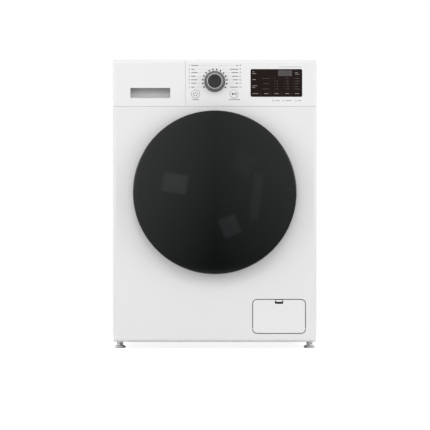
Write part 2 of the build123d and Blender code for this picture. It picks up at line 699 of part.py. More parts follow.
def drawer_housing():
    """The dispenser box that the drawer slides in, open at the front, with its spout and water inlet."""
    left, right, low, high = tray_opening()
    box = block(HOUSING_LEFT, HOUSING_RIGHT, WRAP, HOUSING_BACK, HOUSING_Z0, HOUSING_Z1)
    box -= block(left, right, WRAP - 1, HOUSING_BACK - TRAY_WALL, low, high)
    spout = HOUSING_Z0 - SPOUT_LENGTH
    box += post(FILL_X, FILL_Y, spout, HOUSING_Z0 + TRAY_WALL, SPOUT_RADIUS)
    box -= post(FILL_X, FILL_Y, spout - 1, HOUSING_Z0 + TRAY_WALL + 1, SPOUT_RADIUS - SPIGOT_WALL)
    end = HOUSING_BACK + HOUSING_NOZZLE
    box += rod(INLET_X, INLET_Z, HOUSING_BACK - 1, end, NOZZLE_RADIUS)
    return box - rod(INLET_X, INLET_Z, HOUSING_BACK - 10, end + 1, NOZZLE_BORE)


# Door


def dome(inset):
    """The door cover's solid shape, as deep as its rim's back edge, drawn in by an inset."""
    radius = DOOR_RADIUS - inset
    corner, apex = RIM_FRONT + inset, inset - DOOR_PROUD
    rise = corner - apex
    crown = (radius**2 + rise**2) / (2 * rise)
    halfway = apex + crown - math.sqrt(crown**2 - radius**2 / 4)
    sides = Polyline((0, apex), (0, RIM_BACK), (radius, RIM_BACK), (radius, corner))
    face = make_face(sides + ThreePointArc((radius, corner), (radius / 2, halfway), (0, apex)))
    edge = face.vertices().sort_by(lambda v: v.X - v.Y)[-1]
    face = fillet(edge, DOOR_ROUND - inset)
    plane = Plane(origin=(0, 0, AXIS_Z), x_dir=(1, 0, 0), z_dir=(0, 0, 1))
    return revolve(plane * face, Axis((0, 0, AXIS_Z), (0, 1, 0)))


def door_cover():
    """The smoked outer cover of the door: a shallow dome, its rim cut away behind to pass the hinge."""
    hollow = dome(COVER_WALL) + rod(0, AXIS_Z, RIM_BACK - 1, RIM_BACK + 1, DOOR_RADIUS - COVER_WALL)
    low, high = AXIS_Z - HINGE_ROOM, AXIS_Z + HINGE_ROOM
    relief = block(-DOOR_RADIUS - 1, HINGE_X, HINGE_Y + 1, RIM_BACK + 1, low, high)
    return dome(0) - hollow - relief


def door_frame():
    """The ring behind the cover that carries the glass, cut away for the hinge, hook and fingers."""
    frame = ring(FRAME_FRONT, -4, GLASS_RADIUS + 10, MOUTH + 50)
    frame += ring(RIM_BACK, RIM_BACK + 2.5, MOUTH + 40, DOOR_RADIUS)
    low, high = AXIS_Z - HINGE_ROOM, AXIS_Z + HINGE_ROOM
    frame -= block(-DOOR_RADIUS - 1, HINGE_X + HINGE_NOTCH, RIM_BACK - 20, 1, low, high)
    frame -= block(MOUTH + 29, MOUTH + 51, RIM_BACK + 2.5, 1, AXIS_Z - 55, AXIS_Z + 55)
    frame -= block(HOOK_X - 8, HOOK_X + 8, FRAME_FRONT - 1, 1, AXIS_Z - 8, AXIS_Z + 8)
    return frame - post(HOOK_X, HOOK_PIVOT_Y, AXIS_Z - 14, AXIS_Z + 14, HOOK_PIN + RUNNING)


def door_glass():
    """The glass bowl, clamped to the frame by its flange and reaching into the drum's mouth."""
    wall = DOOR_GLASS_WALL
    outside = [(MOUTH + 4, FRAME_FRONT), (GLASS_RADIUS + 5, FRAME_FRONT), (GLASS_RADIUS, 2)]
    outside += [(GLASS_RADIUS - 30, DOOR_GLASS_DEPTH - 14), (GLASS_RADIUS - 52, DOOR_GLASS_DEPTH)]
    outside.append((0, DOOR_GLASS_DEPTH))
    return turned(bent(outside, wall), rounds=wall * 0.45)


def hinge_bracket():
    """The fixed half of the hinge: a plate on the front panel, and two swan necks that hold the pin."""
    neck = HINGE_X + HINGE_NECK
    bracket = block(neck - 6, neck + 12, -2, 0, AXIS_Z - 58, AXIS_Z + 58)
    for side in (-1, 1):
        z0, z1 = sorted((AXIS_Z + side * LUG_INNER, AXIS_Z + side * (LUG_INNER + LUG_HEIGHT)))
        bracket += post(HINGE_X, HINGE_Y, z0, z1, KNUCKLE_RADIUS)
        bracket += block(HINGE_X, neck + 8, HINGE_Y - 4, HINGE_Y + 3, z0, z1)
        bracket += block(neck, neck + 8, HINGE_Y, -1, z0, z1)
    return bracket - post(HINGE_X, HINGE_Y, AXIS_Z - 60, AXIS_Z + 60, PIN_RADIUS + RUNNING)


def hinge_pin():
    """The pin through the bracket's lugs and the door's knuckle, with a head at the top."""
    reach = LUG_INNER + LUG_HEIGHT
    pin = post(HINGE_X, HINGE_Y, AXIS_Z - reach - 2, AXIS_Z + reach + 1, PIN_RADIUS)
    return pin + post(HINGE_X, HINGE_Y, AXIS_Z + reach, AXIS_Z + reach + 3, PIN_RADIUS + 1.5)


def hinge_arm():
    """The door's half of the hinge: a knuckle on the pin, and an arm bolted to the door frame's front."""
    z0, z1 = AXIS_Z - LUG_INNER + CLEAR, AXIS_Z + LUG_INNER - CLEAR
    arm = post(HINGE_X, HINGE_Y, z0, z1, KNUCKLE_RADIUS)
    reach = MOUTH + 5.5
    arm += block(HINGE_X, -reach, HINGE_Y - 2, HINGE_Y + 2, z0, z1)
    arm += block(HINGE_X + HINGE_NOTCH + 1, -reach, HINGE_Y, FRAME_FRONT, z0, z1)
    return arm - post(HINGE_X, HINGE_Y, z0 - 1, z1 + 1, PIN_RADIUS + RUNNING)


def latch_hook():
    """The hook that the lock catches: it rocks on its own pin in the door frame."""
    half = HOOK_WIDTH / 2
    low, high = AXIS_Z - HOOK_HEIGHT / 2, AXIS_Z + HOOK_HEIGHT / 2
    hook = block(HOOK_X - half, HOOK_X + half, HOOK_PIVOT_Y, HOOK_REACH, low, high)
    hook += post(HOOK_X, HOOK_PIVOT_Y, low, high, half)
    hook += block(HOOK_X, HOOK_X + half + 5, HOOK_REACH - 5, HOOK_REACH, low, high)
    return hook + post(HOOK_X, HOOK_PIVOT_Y, low - 7, high + 7, HOOK_PIN)


def door_lock():
    """The electric door lock behind the front panel, with the pocket that the hook enters."""
    box = block(HOOK_X - 11, HOOK_X + 32, SHEET, HOOK_REACH + 7, AXIS_Z - 32, AXIS_Z + 32)
    return box - block(HOOK_X - 9, HOOK_X + 14, SHEET - 1, HOOK_REACH + 4, AXIS_Z - 11, AXIS_Z + 11)


def door_gasket():
    """The rubber bellows between the front panel and the tub, with a lip towards the door glass."""
    near, fold, far = MOUTH - 7, MOUTH - 16, TUB_MOUTH + TUB_WALL + 0.2
    path = [(GLASS_RADIUS + 3, 6), (near, 12), (near, 32), (fold, 38), (fold, 46)]
    path += [(far, 53), (far, TUB_FRONT - 2)]
    outline = bent(list(reversed(path)), 3.0)
    bellows = turned(outline, rounds=1.2)
    bead = [(near - 1, 2), (MOUTH - 0.2, 2), (MOUTH - 0.2, 14), (near - 1, 14)]
    return bellows + turned(bead)


# Tub and what it carries


def tub():
    """Both halves of the tub in one, with its heater trough, hub, lugs and spigots."""
    outer = rod(0, AXIS_Z, TUB_FRONT, TUB_BACK, TUB_RADIUS)
    outer += rod(0, AXIS_Z, TUB_FRONT - 20, TUB_FRONT + 1, TUB_MOUTH + TUB_WALL)
    outer += rod(0, AXIS_Z, TUB_SPLIT - 8, TUB_SPLIT + 8, TUB_RADIUS + 12)
    outer += rod(0, AXIS_Z, TUB_BACK - 1, HUB_BACK, HUB_RADIUS)
    for turn in range(0, 360, 30):
        rib = block(HUB_RADIUS - 2, TUB_RADIUS - 8, TUB_BACK - 1, TUB_BACK + 14, AXIS_Z - 2, AXIS_Z + 2)
        outer += rib.rotate(Axis((0, 0, AXIS_Z), (0, 1, 0)), turn + 15)
    outer += block(TROUGH_X0, TROUGH_X1, TROUGH_FRONT, TUB_BACK, TROUGH_FLOOR, UNDER_TUB + 30)
    outer += post(SUMP_X, SUMP_Y, TROUGH_FLOOR - SUMP_NECK, TROUGH_FLOOR + 1, SUMP_RADIUS)
    outer += post(FILL_X, FILL_Y, AXIS_Z + TUB_RADIUS * 0.6, FILL_NECK_Z, SPOUT_RADIUS)
    for x in (-DAMPER_X, DAMPER_X):
        outer += block(x - 14, x + 14, DAMPER_Y - 14, DAMPER_Y + 14, LUG_Z, LUG_Z + 50)
    for x in (-SPRING_X, SPRING_X):
        outer += block(x - 8, x + 24, SPRING_Y - 12, SPRING_Y + 12, SPRING_LUG_Z - 60, SPRING_LUG_Z)
    x0, x1 = MOTOR_X - MOTOR_SADDLE_WIDTH / 2, MOTOR_X + MOTOR_SADDLE_WIDTH / 2
    outer += block(x0, x1, MOTOR_SADDLE_FRONT, MOTOR_SADDLE_BACK, MOTOR_SADDLE_TOP, UNDER_TUB + 40)

    wall = TUB_WALL
    inner = rod(0, AXIS_Z, TUB_FRONT + wall, TUB_BACK - wall, TUB_INSIDE)
    inner += rod(0, AXIS_Z, TUB_FRONT - 21, TUB_FRONT + wall + 1, TUB_MOUTH)
    y0, y1 = TROUGH_FRONT + wall, TUB_BACK - wall
    inner += block(TROUGH_X0 + wall, TROUGH_X1 - wall, y0, y1, TROUGH_FLOOR + wall, UNDER_TUB + 31)
    sump_end = TROUGH_FLOOR - SUMP_NECK
    inner += post(SUMP_X, SUMP_Y, sump_end - 1, TROUGH_FLOOR + wall + 1, SUMP_RADIUS - SPIGOT_WALL)
    inner += post(FILL_X, FILL_Y, AXIS_Z + TUB_RADIUS * 0.5, HOUSING_Z0, SPOUT_RADIUS - SPIGOT_WALL)
    for y0, y1, radius in bearing_seats():
        inner += rod(0, AXIS_Z, y0, y1, radius)
    inner += rod(0, AXIS_Z, TUB_BACK - wall - 1, HUB_BACK + 1, SHAFT_RADIUS + 4)
    for x in heater_legs():
        inner += rod(x, heater_z(), TUB_BACK - wall - 1, TUB_BACK + 1, HEATER_TUBE + CLEAR)
    hole = COIL_WIRE + CLEAR
    for x in (-SPRING_X, SPRING_X):
        inner += post(x + COIL_RADIUS, SPRING_Y - COIL_TAIL, SPRING_LUG_Z - 30, SPRING_LUG_Z + 1, hole)
    return outer - inner


def bearing_seats():
    """The bores in the hub for the shaft seal and the two bearings, as start, end and radius."""
    return [
        (TUB_BACK - TUB_WALL - 1, TUB_BACK + 2, SHAFT_RADIUS + 17),
        (TUB_BACK + 2, TUB_BACK + 18, SHAFT_RADIUS + 16),
        (HUB_BACK - 16, HUB_BACK + 1, SHAFT_RADIUS + 11),
    ]


def tub_half(front):
    """One half of the tub, on the front or the rear side of the split."""
    keep = Keep.BOTTOM if front else Keep.TOP
    plane = Plane(origin=(0, TUB_SPLIT, 0), x_dir=(1, 0, 0), z_dir=(0, 1, 0))
    return split(TUB, bisect_by=plane, keep=keep)


def drum_bearings():
    """The two ball bearings in the hub, each as one ring with its grooved faces."""
    bearings = []
    for y0, y1, seat in bearing_seats()[1:]:
        end = min(y1, HUB_BACK)
        inside, outside = SHAFT_RADIUS + RUNNING, seat - RUNNING
        race = (outside - inside) * 0.28
        body = ring(y0, end, inside, outside)
        for a, b in ((y0 - 1, y0 + 1.2), (end - 1.2, end + 1)):
            body -= ring(a, b, inside + race, outside - race)
        bearings.append(body)
    return Compound(bearings)


def front_counterweight():
    """The concrete ring on the tub's front, open at the top."""
    inside, outside = MOUTH + 20, TUB_RADIUS - 6
    y0 = TUB_FRONT - COUNTERWEIGHT
    profile = [(inside, y0), (outside - 8, y0), (outside, y0 + 8), (outside, TUB_FRONT), (inside, TUB_FRONT)]
    return turned(profile, arc=260, start=40)


def heater_legs():
    """Where the heater's two legs run, across the trough."""
    middle = (TROUGH_X0 + TROUGH_X1) / 2
    return (middle - 24, middle + 24)


def heater_z():
    """The height of the heater's legs."""
    return TROUGH_FLOOR + TUB_WALL + 3 * HEATER_TUBE


def heater():
    """The heating element: one bent tube in the trough, with its flange on the tub's back."""
    a, b = heater_legs()
    bend = (b - a) / 2
    y0, y1 = SUMP_Y + 60, TUB_BACK + 12
    around = ThreePointArc((a, y0), ((a + b) / 2, y0 - bend), (b, y0))
    path = Pos(0, 0, heater_z()) * (Line((a, y1), (a, y0)) + around + Line((b, y0), (b, y1)))
    section = Plane(origin=(a, y1, heater_z()), z_dir=(0, -1, 0)) * Circle(HEATER_TUBE)
    element = sweep(section, path=path)
    flange = block(a - 12, b + 12, TUB_BACK, TUB_BACK + 6, heater_z() - 10, heater_z() + 10)
    return element + flange


def motor():
    """The drive motor: a ribbed can with two end bells, hung from the tub by a saddle."""
    y1, y0 = MOTOR_BACK, MOTOR_BACK - MOTOR_LENGTH
    can = rod(MOTOR_X, MOTOR_Z, y0, y1, MOTOR_RADIUS)
    can = chamfer(can.edges(), 8)
    for y in range(5):
        groove = y0 + 30 + y * 16
        can -= ring(groove, groove + 6, MOTOR_RADIUS - 3, MOTOR_RADIUS + 1, MOTOR_X, MOTOR_Z)
    x0, x1 = MOTOR_X - MOTOR_SADDLE_WIDTH / 2, MOTOR_X + MOTOR_SADDLE_WIDTH / 2
    can += block(x0, x1, MOTOR_SADDLE_FRONT, MOTOR_SADDLE_BACK, MOTOR_Z, MOTOR_SADDLE_TOP)
    return can - rod(MOTOR_X, MOTOR_Z, y1 - 30, y1 + 1, MOTOR_SHAFT + RUNNING)


def motor_pulley():
    """The motor's shaft and its small flanged pulley."""
    r = MOTOR_PULLEY_RADIUS
    y0, y1 = PULLEY_Y, PULLEY_Y + PULLEY_WIDTH
    start = MOTOR_BACK - 28
    profile = [(0, start), (MOTOR_SHAFT, start), (MOTOR_SHAFT, y0 - 2), (r + 5, y0 - 2), (r + 5, y0), (r, y0)]
    profile += [(r, y1), (r + 5, y1), (r + 5, y1 + 2), (0, y1 + 2)]
    return turned(profile, MOTOR_X, MOTOR_Z)


def belt_outline(drum_radius, motor_radius):
    """The closed loop of a belt's face about both pulleys, as a filled outline."""
    dx, dz = MOTOR_X, MOTOR_Z - AXIS_Z
    span = math.hypot(dx, dz)
    heading = math.atan2(dz, dx)
    lean = math.acos((drum_radius - motor_radius) / span)
    corners = []
    for side in (1, -1):
        angle = heading + side * lean
        near = (drum_radius * math.cos(angle), drum_radius * math.sin(angle))
        away = (dx + motor_radius * math.cos(angle), dz + motor_radius * math.sin(angle))
        corners += [near, away] if side == 1 else [away, near]
    runs = make_face(Polyline(*corners, close=True))
    return runs + Circle(drum_radius) + Pos(dx, dz) * Circle(motor_radius)


def drive_belt():
    """The flat ribbed belt round both pulleys."""
    y0 = PULLEY_Y + (PULLEY_WIDTH - BELT_WIDTH) / 2
    inner = belt_outline(PULLEY_RADIUS + CLEAR, MOTOR_PULLEY_RADIUS + CLEAR)
    outer = belt_outline(PULLEY_RADIUS + CLEAR + BELT_THICK, MOTOR_PULLEY_RADIUS + CLEAR + BELT_THICK)
    return plate(outer - inner, 0, AXIS_Z, y0, y0 + BELT_WIDTH)


def drum_pulley():
    """The large drive pulley: a rim on five spokes."""
    y0, y1 = PULLEY_Y, PULLEY_Y + PULLEY_WIDTH
    rim = ring(y0, y1, PULLEY_RADIUS - 8, PULLEY_RADIUS)
    hub = ring(y0 - 4, y1, SHAFT_RADIUS + RUNNING, SHAFT_RADIUS + 14)
    body = rim + hub
    for turn in range(0, 360, 72):
        spoke = block(-10, 10, y0 + 5, y1 - 7, AXIS_Z + SHAFT_RADIUS + 8, AXIS_Z + PULLEY_RADIUS - 2)
        body += spoke.rotate(Axis((0, 0, AXIS_Z), (0, 1, 0)), turn)
    return body


def drum_spider():
    """The three armed casting behind the drum, with its shaft through both bearings to the pulley."""
    y0 = DRUM_BACK
    shaft = rod(0, AXIS_Z, y0, PULLEY_Y + PULLEY_WIDTH + 3, SHAFT_RADIUS)
    spider = chamfer(shaft.edges().group_by(Axis.Y)[-1], 2)
    spider += rod(0, AXIS_Z, y0, y0 + SPIDER_DEPTH, SHAFT_RADIUS + SPIDER_HUB)
    reach, root, tip = DRUM_RADIUS - SPIDER_GAP, SPIDER_ROOT / 2, SPIDER_TIP / 2
    for turn in (90, 210, 330):
        arm = [(0, -root), (reach, -tip), (reach, tip), (0, root)]
        beam = plate(make_face(Polyline(*arm, close=True)), 0, AXIS_Z, y0, y0 + SPIDER_ARM)
        spider += beam.rotate(Axis((0, 0, AXIS_Z), (0, -1, 0)), turn)
    return spider


def drum_shell():
    """The drum: a front with a turned-in mouth, a rolled wrapper and a pressed back, joined edge to edge."""
    r = DRUM_RADIUS
    front, front_edge = DRUM_FRONT, DRUM_FRONT + 20
    back, back_edge = DRUM_BACK, DRUM_BACK - 4
    face = [(DRUM_MOUTH, front + 12), (DRUM_MOUTH, front), (r - 16, front), (r, front + 16), (r, front_edge)]
    rear = [(r, back_edge), (r, back), (96, back), (72, back - 12), (0, back - 12)]
    wrapper = ring(front_edge, back_edge, DRUM_INSIDE, r)
    return Compound([turned(bent(face, DRUM_SHEET)), wrapper, turned(bent(rear, DRUM_SHEET))])


def drum_lifters():
    """The three paddles that lift the washing, each hollow-backed against the drum."""
    y0, y1 = DRUM_FRONT + LIFTER_FRONT, DRUM_BACK - LIFTER_REAR
    foot_r, top_r = DRUM_INSIDE, DRUM_INSIDE - LIFTER_HEIGHT
    half, crest = LIFTER_WIDTH / 2, LIFTER_WIDTH * 0.2
    outline = [(-half, foot_r - 6), (-crest, top_r), (crest, top_r), (half, foot_r - 6)]
    outline += [(half, foot_r + 4), (-half, foot_r + 4)]
    paddle = plate(make_face(Polyline(*outline, close=True)), 0, AXIS_Z, y0, y1)
    crests = [e for e in paddle.edges().filter_by(Axis.Y) if e.center().Z < AXIS_Z + top_r + 1]
    paddle = fillet(crests, crest * 0.8)
    paddle = paddle & rod(0, AXIS_Z, y0 - 1, y1 + 1, DRUM_INSIDE - RUNNING)
    about = Axis((0, 0, AXIS_Z), (0, -1, 0))
    return Compound([paddle.rotate(about, turn) for turn in (0, 120, 240)])


def damper_cylinders():
    """The fixed halves of the two friction dampers, standing on the base."""
    top = LUG_Z - DAMPER_STROKE
    tube = post(DAMPER_X, DAMPER_Y, DAMPER_SEAT, top, DAMPER_RADIUS)
    floor, lid = DAMPER_SEAT + DAMPER_FLOOR, top - DAMPER_LID
    tube -= post(DAMPER_X, DAMPER_Y, floor, lid, DAMPER_RADIUS - DAMPER_WALL)
    tube -= post(DAMPER_X, DAMPER_Y, lid - 1, top + 1, DAMPER_ROD + CLEAR)
    return Compound(both_sides(tube))


def damper_rods():
    """The moving halves of the dampers: a rod and piston, flanged to the tub's lug."""
    top = LUG_Z - DAMPER_STROKE
    piston = DAMPER_SEAT + DAMPER_FLOOR + BOUNCE + 30
    crown = min(piston + 24, top - DAMPER_LID - BOUNCE - 4)
    moving = post(DAMPER_X, DAMPER_Y, piston, LUG_Z, DAMPER_ROD)
    moving += post(DAMPER_X, DAMPER_Y, piston, crown, DAMPER_RADIUS - DAMPER_WALL - CLEAR)
    moving += post(DAMPER_X, DAMPER_Y, LUG_Z - 6, LUG_Z, DAMPER_ROD + 5)
    return Compound(both_sides(moving))


def spring_ends():
    """The heights between which a spring is coiled."""
    return SPRING_LUG_Z + 10 + COIL_TAIL, CROSSBAR_Z - 10 - COIL_TAIL


def spring(x):
    """One suspension spring: a coil, a tail up through the crossbar and one down through the tub's lug."""
    tail_bend = COIL_TAIL
    low, high = spring_ends()
    pitch = (high - low) / COIL_TURNS
    rise = pitch / (2 * math.pi * COIL_RADIUS)

    def at(turn):
        angle = 2 * math.pi * turn
        c, s = math.cos(angle), math.sin(angle)
        place = (x + COIL_RADIUS * c, SPRING_Y + COIL_RADIUS * s, low + pitch * turn)
        return place, (-s, c, rise)

    first, first_way = at(0)
    last, last_way = at(COIL_TURNS)
    foot_end = (first[0], first[1] - tail_bend, first[2] - tail_bend)
    head_start = (last[0], last[1] + tail_bend, last[2] + tail_bend)
    edges = [Edge.make_line((foot_end[0], foot_end[1], SPRING_LUG_Z - 14), foot_end)]
    edges += curl(foot_end, (0, 0, 1), first, first_way)
    for quarter in range(4 * COIL_TURNS):
        start, way = at(quarter / 4)
        end, onward = at((quarter + 1) / 4)
        edges += curl(start, way, end, onward)
    edges += curl(last, last_way, head_start, (0, 0, 1))
    edges.append(Edge.make_line(head_start, (head_start[0], head_start[1], CROSSBAR_Z + 14)))
    wire = Wire(edges)
    section = Plane(origin=wire @ 0, z_dir=(0, 0, 1)) * Circle(COIL_WIRE)
    return sweep(section, path=wire)


def suspension_springs():
    """Both suspension springs."""
    return Compound([spring(-SPRING_X), spring(SPRING_X)])


def least_coil_gap():
    """The least space between one turn of a spring and another, measured on points along its wire."""
    low, high = spring_ends()
    pitch = (high - low) / COIL_TURNS
    steps = 24
    points = []
    for i in range(steps * COIL_TURNS + 1):
        angle = 2 * math.pi * i / steps
        points.append(Vector(COIL_RADIUS * math.cos(angle), COIL_RADIUS * math.sin(angle), pitch * i / steps))
    gaps = []
    for i, point in enumerate(points):
        for other in points[i + steps // 2 :]:
            gaps.append((other - point).length)
    return min(gaps) - 2 * COIL_WIRE


# Filter and drain


def filter_flap():
    """The flap over the filter, with a finger notch and latch tongue at the top and pivots at the bottom."""
    flap = plate(RectangleRounded(FLAP_WIDTH, FLAP_HEIGHT, FLAP_ROUND), FLAP_X, FLAP_Z, 0, FLAP_THICK)
    top = FLAP_RISE + FLAP_HEIGHT
    half = NOTCH_WIDTH / 2
    notch = block(FLAP_X - half, FLAP_X + half, -1, FLAP_THICK + 1, top - NOTCH_HEIGHT, top + 1)
    flap -= fillet(notch.edges().filter_by(Axis.Y).group_by(Axis.Z)[0], 3)
    flap += block(FLAP_X - half + NOTCH_GAP, FLAP_X + half - NOTCH_GAP, 0, FLAP_THICK, top - 6, top - 0.5)
    flap += block(FLAP_X - half - 4, FLAP_X + half + 4, FLAP_THICK, FLAP_THICK + 2, top - 3, top - 1)
    for side in (-1, 1):
        edge = FLAP_X + side * FLAP_WIDTH / 2
        inner, outer = edge - side * 6, edge + side * (FLAP_GAP + PIVOT_REACH)
        x0, x1 = sorted((inner, edge))
        flap += block(x0, x1, FLAP_THICK - 0.5, FLAP_AXIS_Y, FLAP_AXIS_Z - 2, FLAP_AXIS_Z + 6)
        flap += bar(FLAP_AXIS_Y, FLAP_AXIS_Z, *sorted((inner, outer)), PIVOT_RADIUS)
    return flap


def filter_bezel():
    """The recess behind the flap, on the front panel's back, with the flap's pivots and the filter's hole."""
    w, h = FLAP_WIDTH + 2 * FLAP_GAP, FLAP_HEIGHT + 2 * FLAP_GAP
    outer = plate(RectangleRounded(w + 14, h + 14, FLAP_ROUND + 7), FLAP_X, FLAP_Z, SHEET, BEZEL_BACK)
    outer -= plate(RectangleRounded(w, h, FLAP_ROUND), FLAP_X, FLAP_Z, 0, BEZEL_BACK - 3)
    reach = w / 2 + PIVOT_REACH + 1
    outer -= bar(FLAP_AXIS_Y, FLAP_AXIS_Z, FLAP_X - reach, FLAP_X + reach, PIVOT_RADIUS + RUNNING)
    return outer - rod(FLAP_X, FLAP_Z, BEZEL_BACK - 4, BEZEL_BACK + 1, FILTER_RADIUS + 4)


def filter_cap():
    """The filter's screw cap, with its grip bar and the slotted basket behind it."""
    r = FILTER_RADIUS
    y0 = BEZEL_BACK - CAP_PROUD
    y1, y2, basket = y0 + CAP_LENGTH, y0 + PLUG_LENGTH, BEZEL_BACK + BASKET_LENGTH
    plug, outside = r - PLUG_INSET, r - BASKET_INSET
    inside = outside - BASKET_WALL
    profile = [(0, y0), (r, y0), (r, y1), (plug, y1), (plug, y2), (outside, y2)]
    profile += [(outside, basket), (inside, basket), (inside, y2), (0, y2)]
    cap = turned(profile, FLAP_X, FLAP_Z)
    grip, half = r * 0.72, GRIP_WIDTH / 2
    cap += block(FLAP_X - grip, FLAP_X + grip, y0 - GRIP_PROUD, y0 + 1, FLAP_Z - half, FLAP_Z + half)
    half = SLOT_HEIGHT / 2
    for i in range(4):
        y = BEZEL_BACK + SLOT_START + SLOT_PITCH * i
        cap -= block(FLAP_X - r, FLAP_X + r, y, y + SLOT_WIDTH, FLAP_Z - half, FLAP_Z + half)
    return cap


def drain_pump():
    """The pump: the filter's barrel, the impeller chamber, the motor can and the two spigots."""
    b = BEZEL_BACK
    body = rod(FLAP_X, FLAP_Z, b, PUMP_BACK, PUMP_RADIUS)
    body += rod(FLAP_X, FLAP_Z, PUMP_BACK - 1, PUMP_BACK + PUMP_MOTOR, PUMP_RADIUS - 10)
    left, right = FLAP_X - PUMP_RADIUS - PUMP_SPIGOT, FLAP_X + PUMP_RADIUS + PUMP_OUTFLOW
    body += bar(SUMP_Y, FLAP_Z, left, FLAP_X, SUMP_RADIUS)
    body += bar(OUTFLOW_Y, FLAP_Z, FLAP_X, right, DRAIN_RADIUS)
    body -= rod(FLAP_X, FLAP_Z, b - 1, CHAMBER_Y - 5, FILTER_RADIUS + 1.5)
    body -= rod(FLAP_X, FLAP_Z, CHAMBER_Y - 6, CHAMBER_Y + 1, PUMP_EYE)
    body -= rod(FLAP_X, FLAP_Z, CHAMBER_Y, CHAMBER_Y + IMPELLER_ROOM, PUMP_RADIUS - 8)
    body -= rod(FLAP_X, FLAP_Z, PUMP_BACK - PUMP_WALL - 1, PUMP_BACK + PUMP_SHAFT + 2, STALK_RADIUS + RUNNING)
    body -= bar(SUMP_Y, FLAP_Z, left - 1, FLAP_X, SUMP_RADIUS - SPIGOT_WALL)
    return body - bar(OUTFLOW_Y, FLAP_Z, FLAP_X, right + 1, DRAIN_RADIUS - SPIGOT_WALL)


def pump_impeller():
    """The pump's impeller: four blades on a hub and shaft."""
    y0 = CHAMBER_Y + IMPELLER_GAP
    y1, y2 = y0 + BLADE_LENGTH, y0 + IMPELLER_LENGTH
    wheel = rod(FLAP_X, FLAP_Z, y0, y2, IMPELLER_HUB)
    blade, half = PUMP_RADIUS - 14, BLADE_SHEET / 2
    wheel += block(FLAP_X - blade, FLAP_X + blade, y0, y1, FLAP_Z - half, FLAP_Z + half)
    wheel += block(FLAP_X - half, FLAP_X + half, y0, y1, FLAP_Z - blade, FLAP_Z + blade)
    return wheel + rod(FLAP_X, FLAP_Z, y2 - 1, PUMP_BACK + PUMP_SHAFT, STALK_RADIUS)


def hose(path, outside, bore, end, way):
    """A hose along a path, from its wall's two radii."""
    plane = Plane(origin=end, z_dir=way)
    return sweep(plane * Circle(outside), path=path) - sweep(plane * Circle(bore), path=path)


def sump_hose():
    """The wide hose from the tub's sump down to the pump."""
    top, end = TROUGH_FLOOR - 3, FLAP_X - PUMP_RADIUS - 6
    turn = min(top - FLAP_Z, end - SUMP_X) - HOSE_STRAIGHT
    path = FilletPolyline((SUMP_X, SUMP_Y, top), (SUMP_X, SUMP_Y, FLAP_Z), (end, SUMP_Y, FLAP_Z), radius=turn)
    bore = SUMP_RADIUS + RUNNING
    return hose(path, bore + HOSE_WALL, bore, (SUMP_X, SUMP_Y, top), (0, 0, -1))


def drain_hose():
    """The hose from the pump back to the outlet on the rear panel."""
    start = FLAP_X + PUMP_RADIUS + 2
    bend = DRAIN_X - start - DRAIN_STRAIGHT
    first = (start, OUTFLOW_Y, FLAP_Z)
    path = FilletPolyline(first, (DRAIN_X, OUTFLOW_Y, FLAP_Z), (DRAIN_X, REAR - 8, FLAP_Z), radius=bend)
    bore = DRAIN_RADIUS + RUNNING
    return hose(path, bore + HOSE_WALL, bore, first, (1, 0, 0))


def drain_outlet():
    """The outlet spigot through the rear panel, with a flange inside."""
    start, outside = REAR - OUTLET_REACH, DEPTH + PANEL_STEP
    spigot = rod(DRAIN_X, FLAP_Z, start, REAR, DRAIN_RADIUS)
    spigot += rod(DRAIN_X, FLAP_Z, REAR - REAR_FLANGE, REAR, DRAIN_RADIUS + OUTLET_FLANGE)
    spigot += rod(DRAIN_X, FLAP_Z, REAR - 1, DEPTH + 1, DRAIN_RADIUS - 0.5)
    spigot += rod(DRAIN_X, FLAP_Z, outside, outside + DRAIN_LENGTH, DRAIN_RADIUS)
    return spigot - rod(DRAIN_X, FLAP_Z, start - 1, DEPTH + DRAIN_LENGTH + 1, DRAIN_RADIUS - SPIGOT_WALL)


def fill_hose():
    """The short hose from the dispenser's spout to the tub."""
    low, high = FILL_NECK_Z - 10, HOUSING_Z0 - 4
    bore = SPOUT_RADIUS + RUNNING
    tube = post(FILL_X, FILL_Y, low, high, bore + HOSE_WALL)
    return tube - post(FILL_X, FILL_Y, low - 1, high + 1, bore)


def inlet_valve():
    """The inlet valve: a threaded connection through the rear panel, a solenoid body and an outlet nozzle."""
    x, front, outside = INLET_X, REAR - VALVE_DEPTH, DEPTH + PANEL_STEP
    half, low, high = VALVE_WIDTH / 2, INLET_Z - VALVE_HEIGHT / 2, INLET_Z + VALVE_HEIGHT / 2
    valve = rod(x, INLET_Z, REAR - REAR_FLANGE, REAR, INLET_RADIUS + 7)
    valve += rod(x, INLET_Z, REAR - 1, DEPTH + 1, INLET_RADIUS - 0.7)
    valve += rod(x, INLET_Z, outside, outside + INLET_LENGTH, INLET_RADIUS)
    valve += block(x - half, x + half, front, REAR - REAR_FLANGE + 1, low, high)
    y1, half = REAR - SOLENOID_SETBACK, SOLENOID_WIDTH / 2
    valve += block(x - half, x + half, y1 - SOLENOID_WIDTH, y1, low - SOLENOID_LENGTH, low + 1)
    valve += rod(x, INLET_Z, front - NOZZLE_LENGTH, front + 1, NOZZLE_RADIUS)
    valve -= rod(x, INLET_Z, front + 18, DEPTH + INLET_LENGTH + 1, INLET_RADIUS - 4)
    return valve - rod(x, INLET_Z, front - NOZZLE_LENGTH - 1, front + 8, NOZZLE_BORE)


def inlet_hose():
    """The hose from the inlet valve forward to the dispenser."""
    y0, y1 = HOUSING_BACK + 2, REAR - VALVE_DEPTH - 4
    bore = NOZZLE_RADIUS + RUNNING
    tube = rod(INLET_X, INLET_Z, y0, y1, bore + HOSE_WALL)
    return tube - rod(INLET_X, INLET_Z, y0 - 1, y1 + 1, bore)


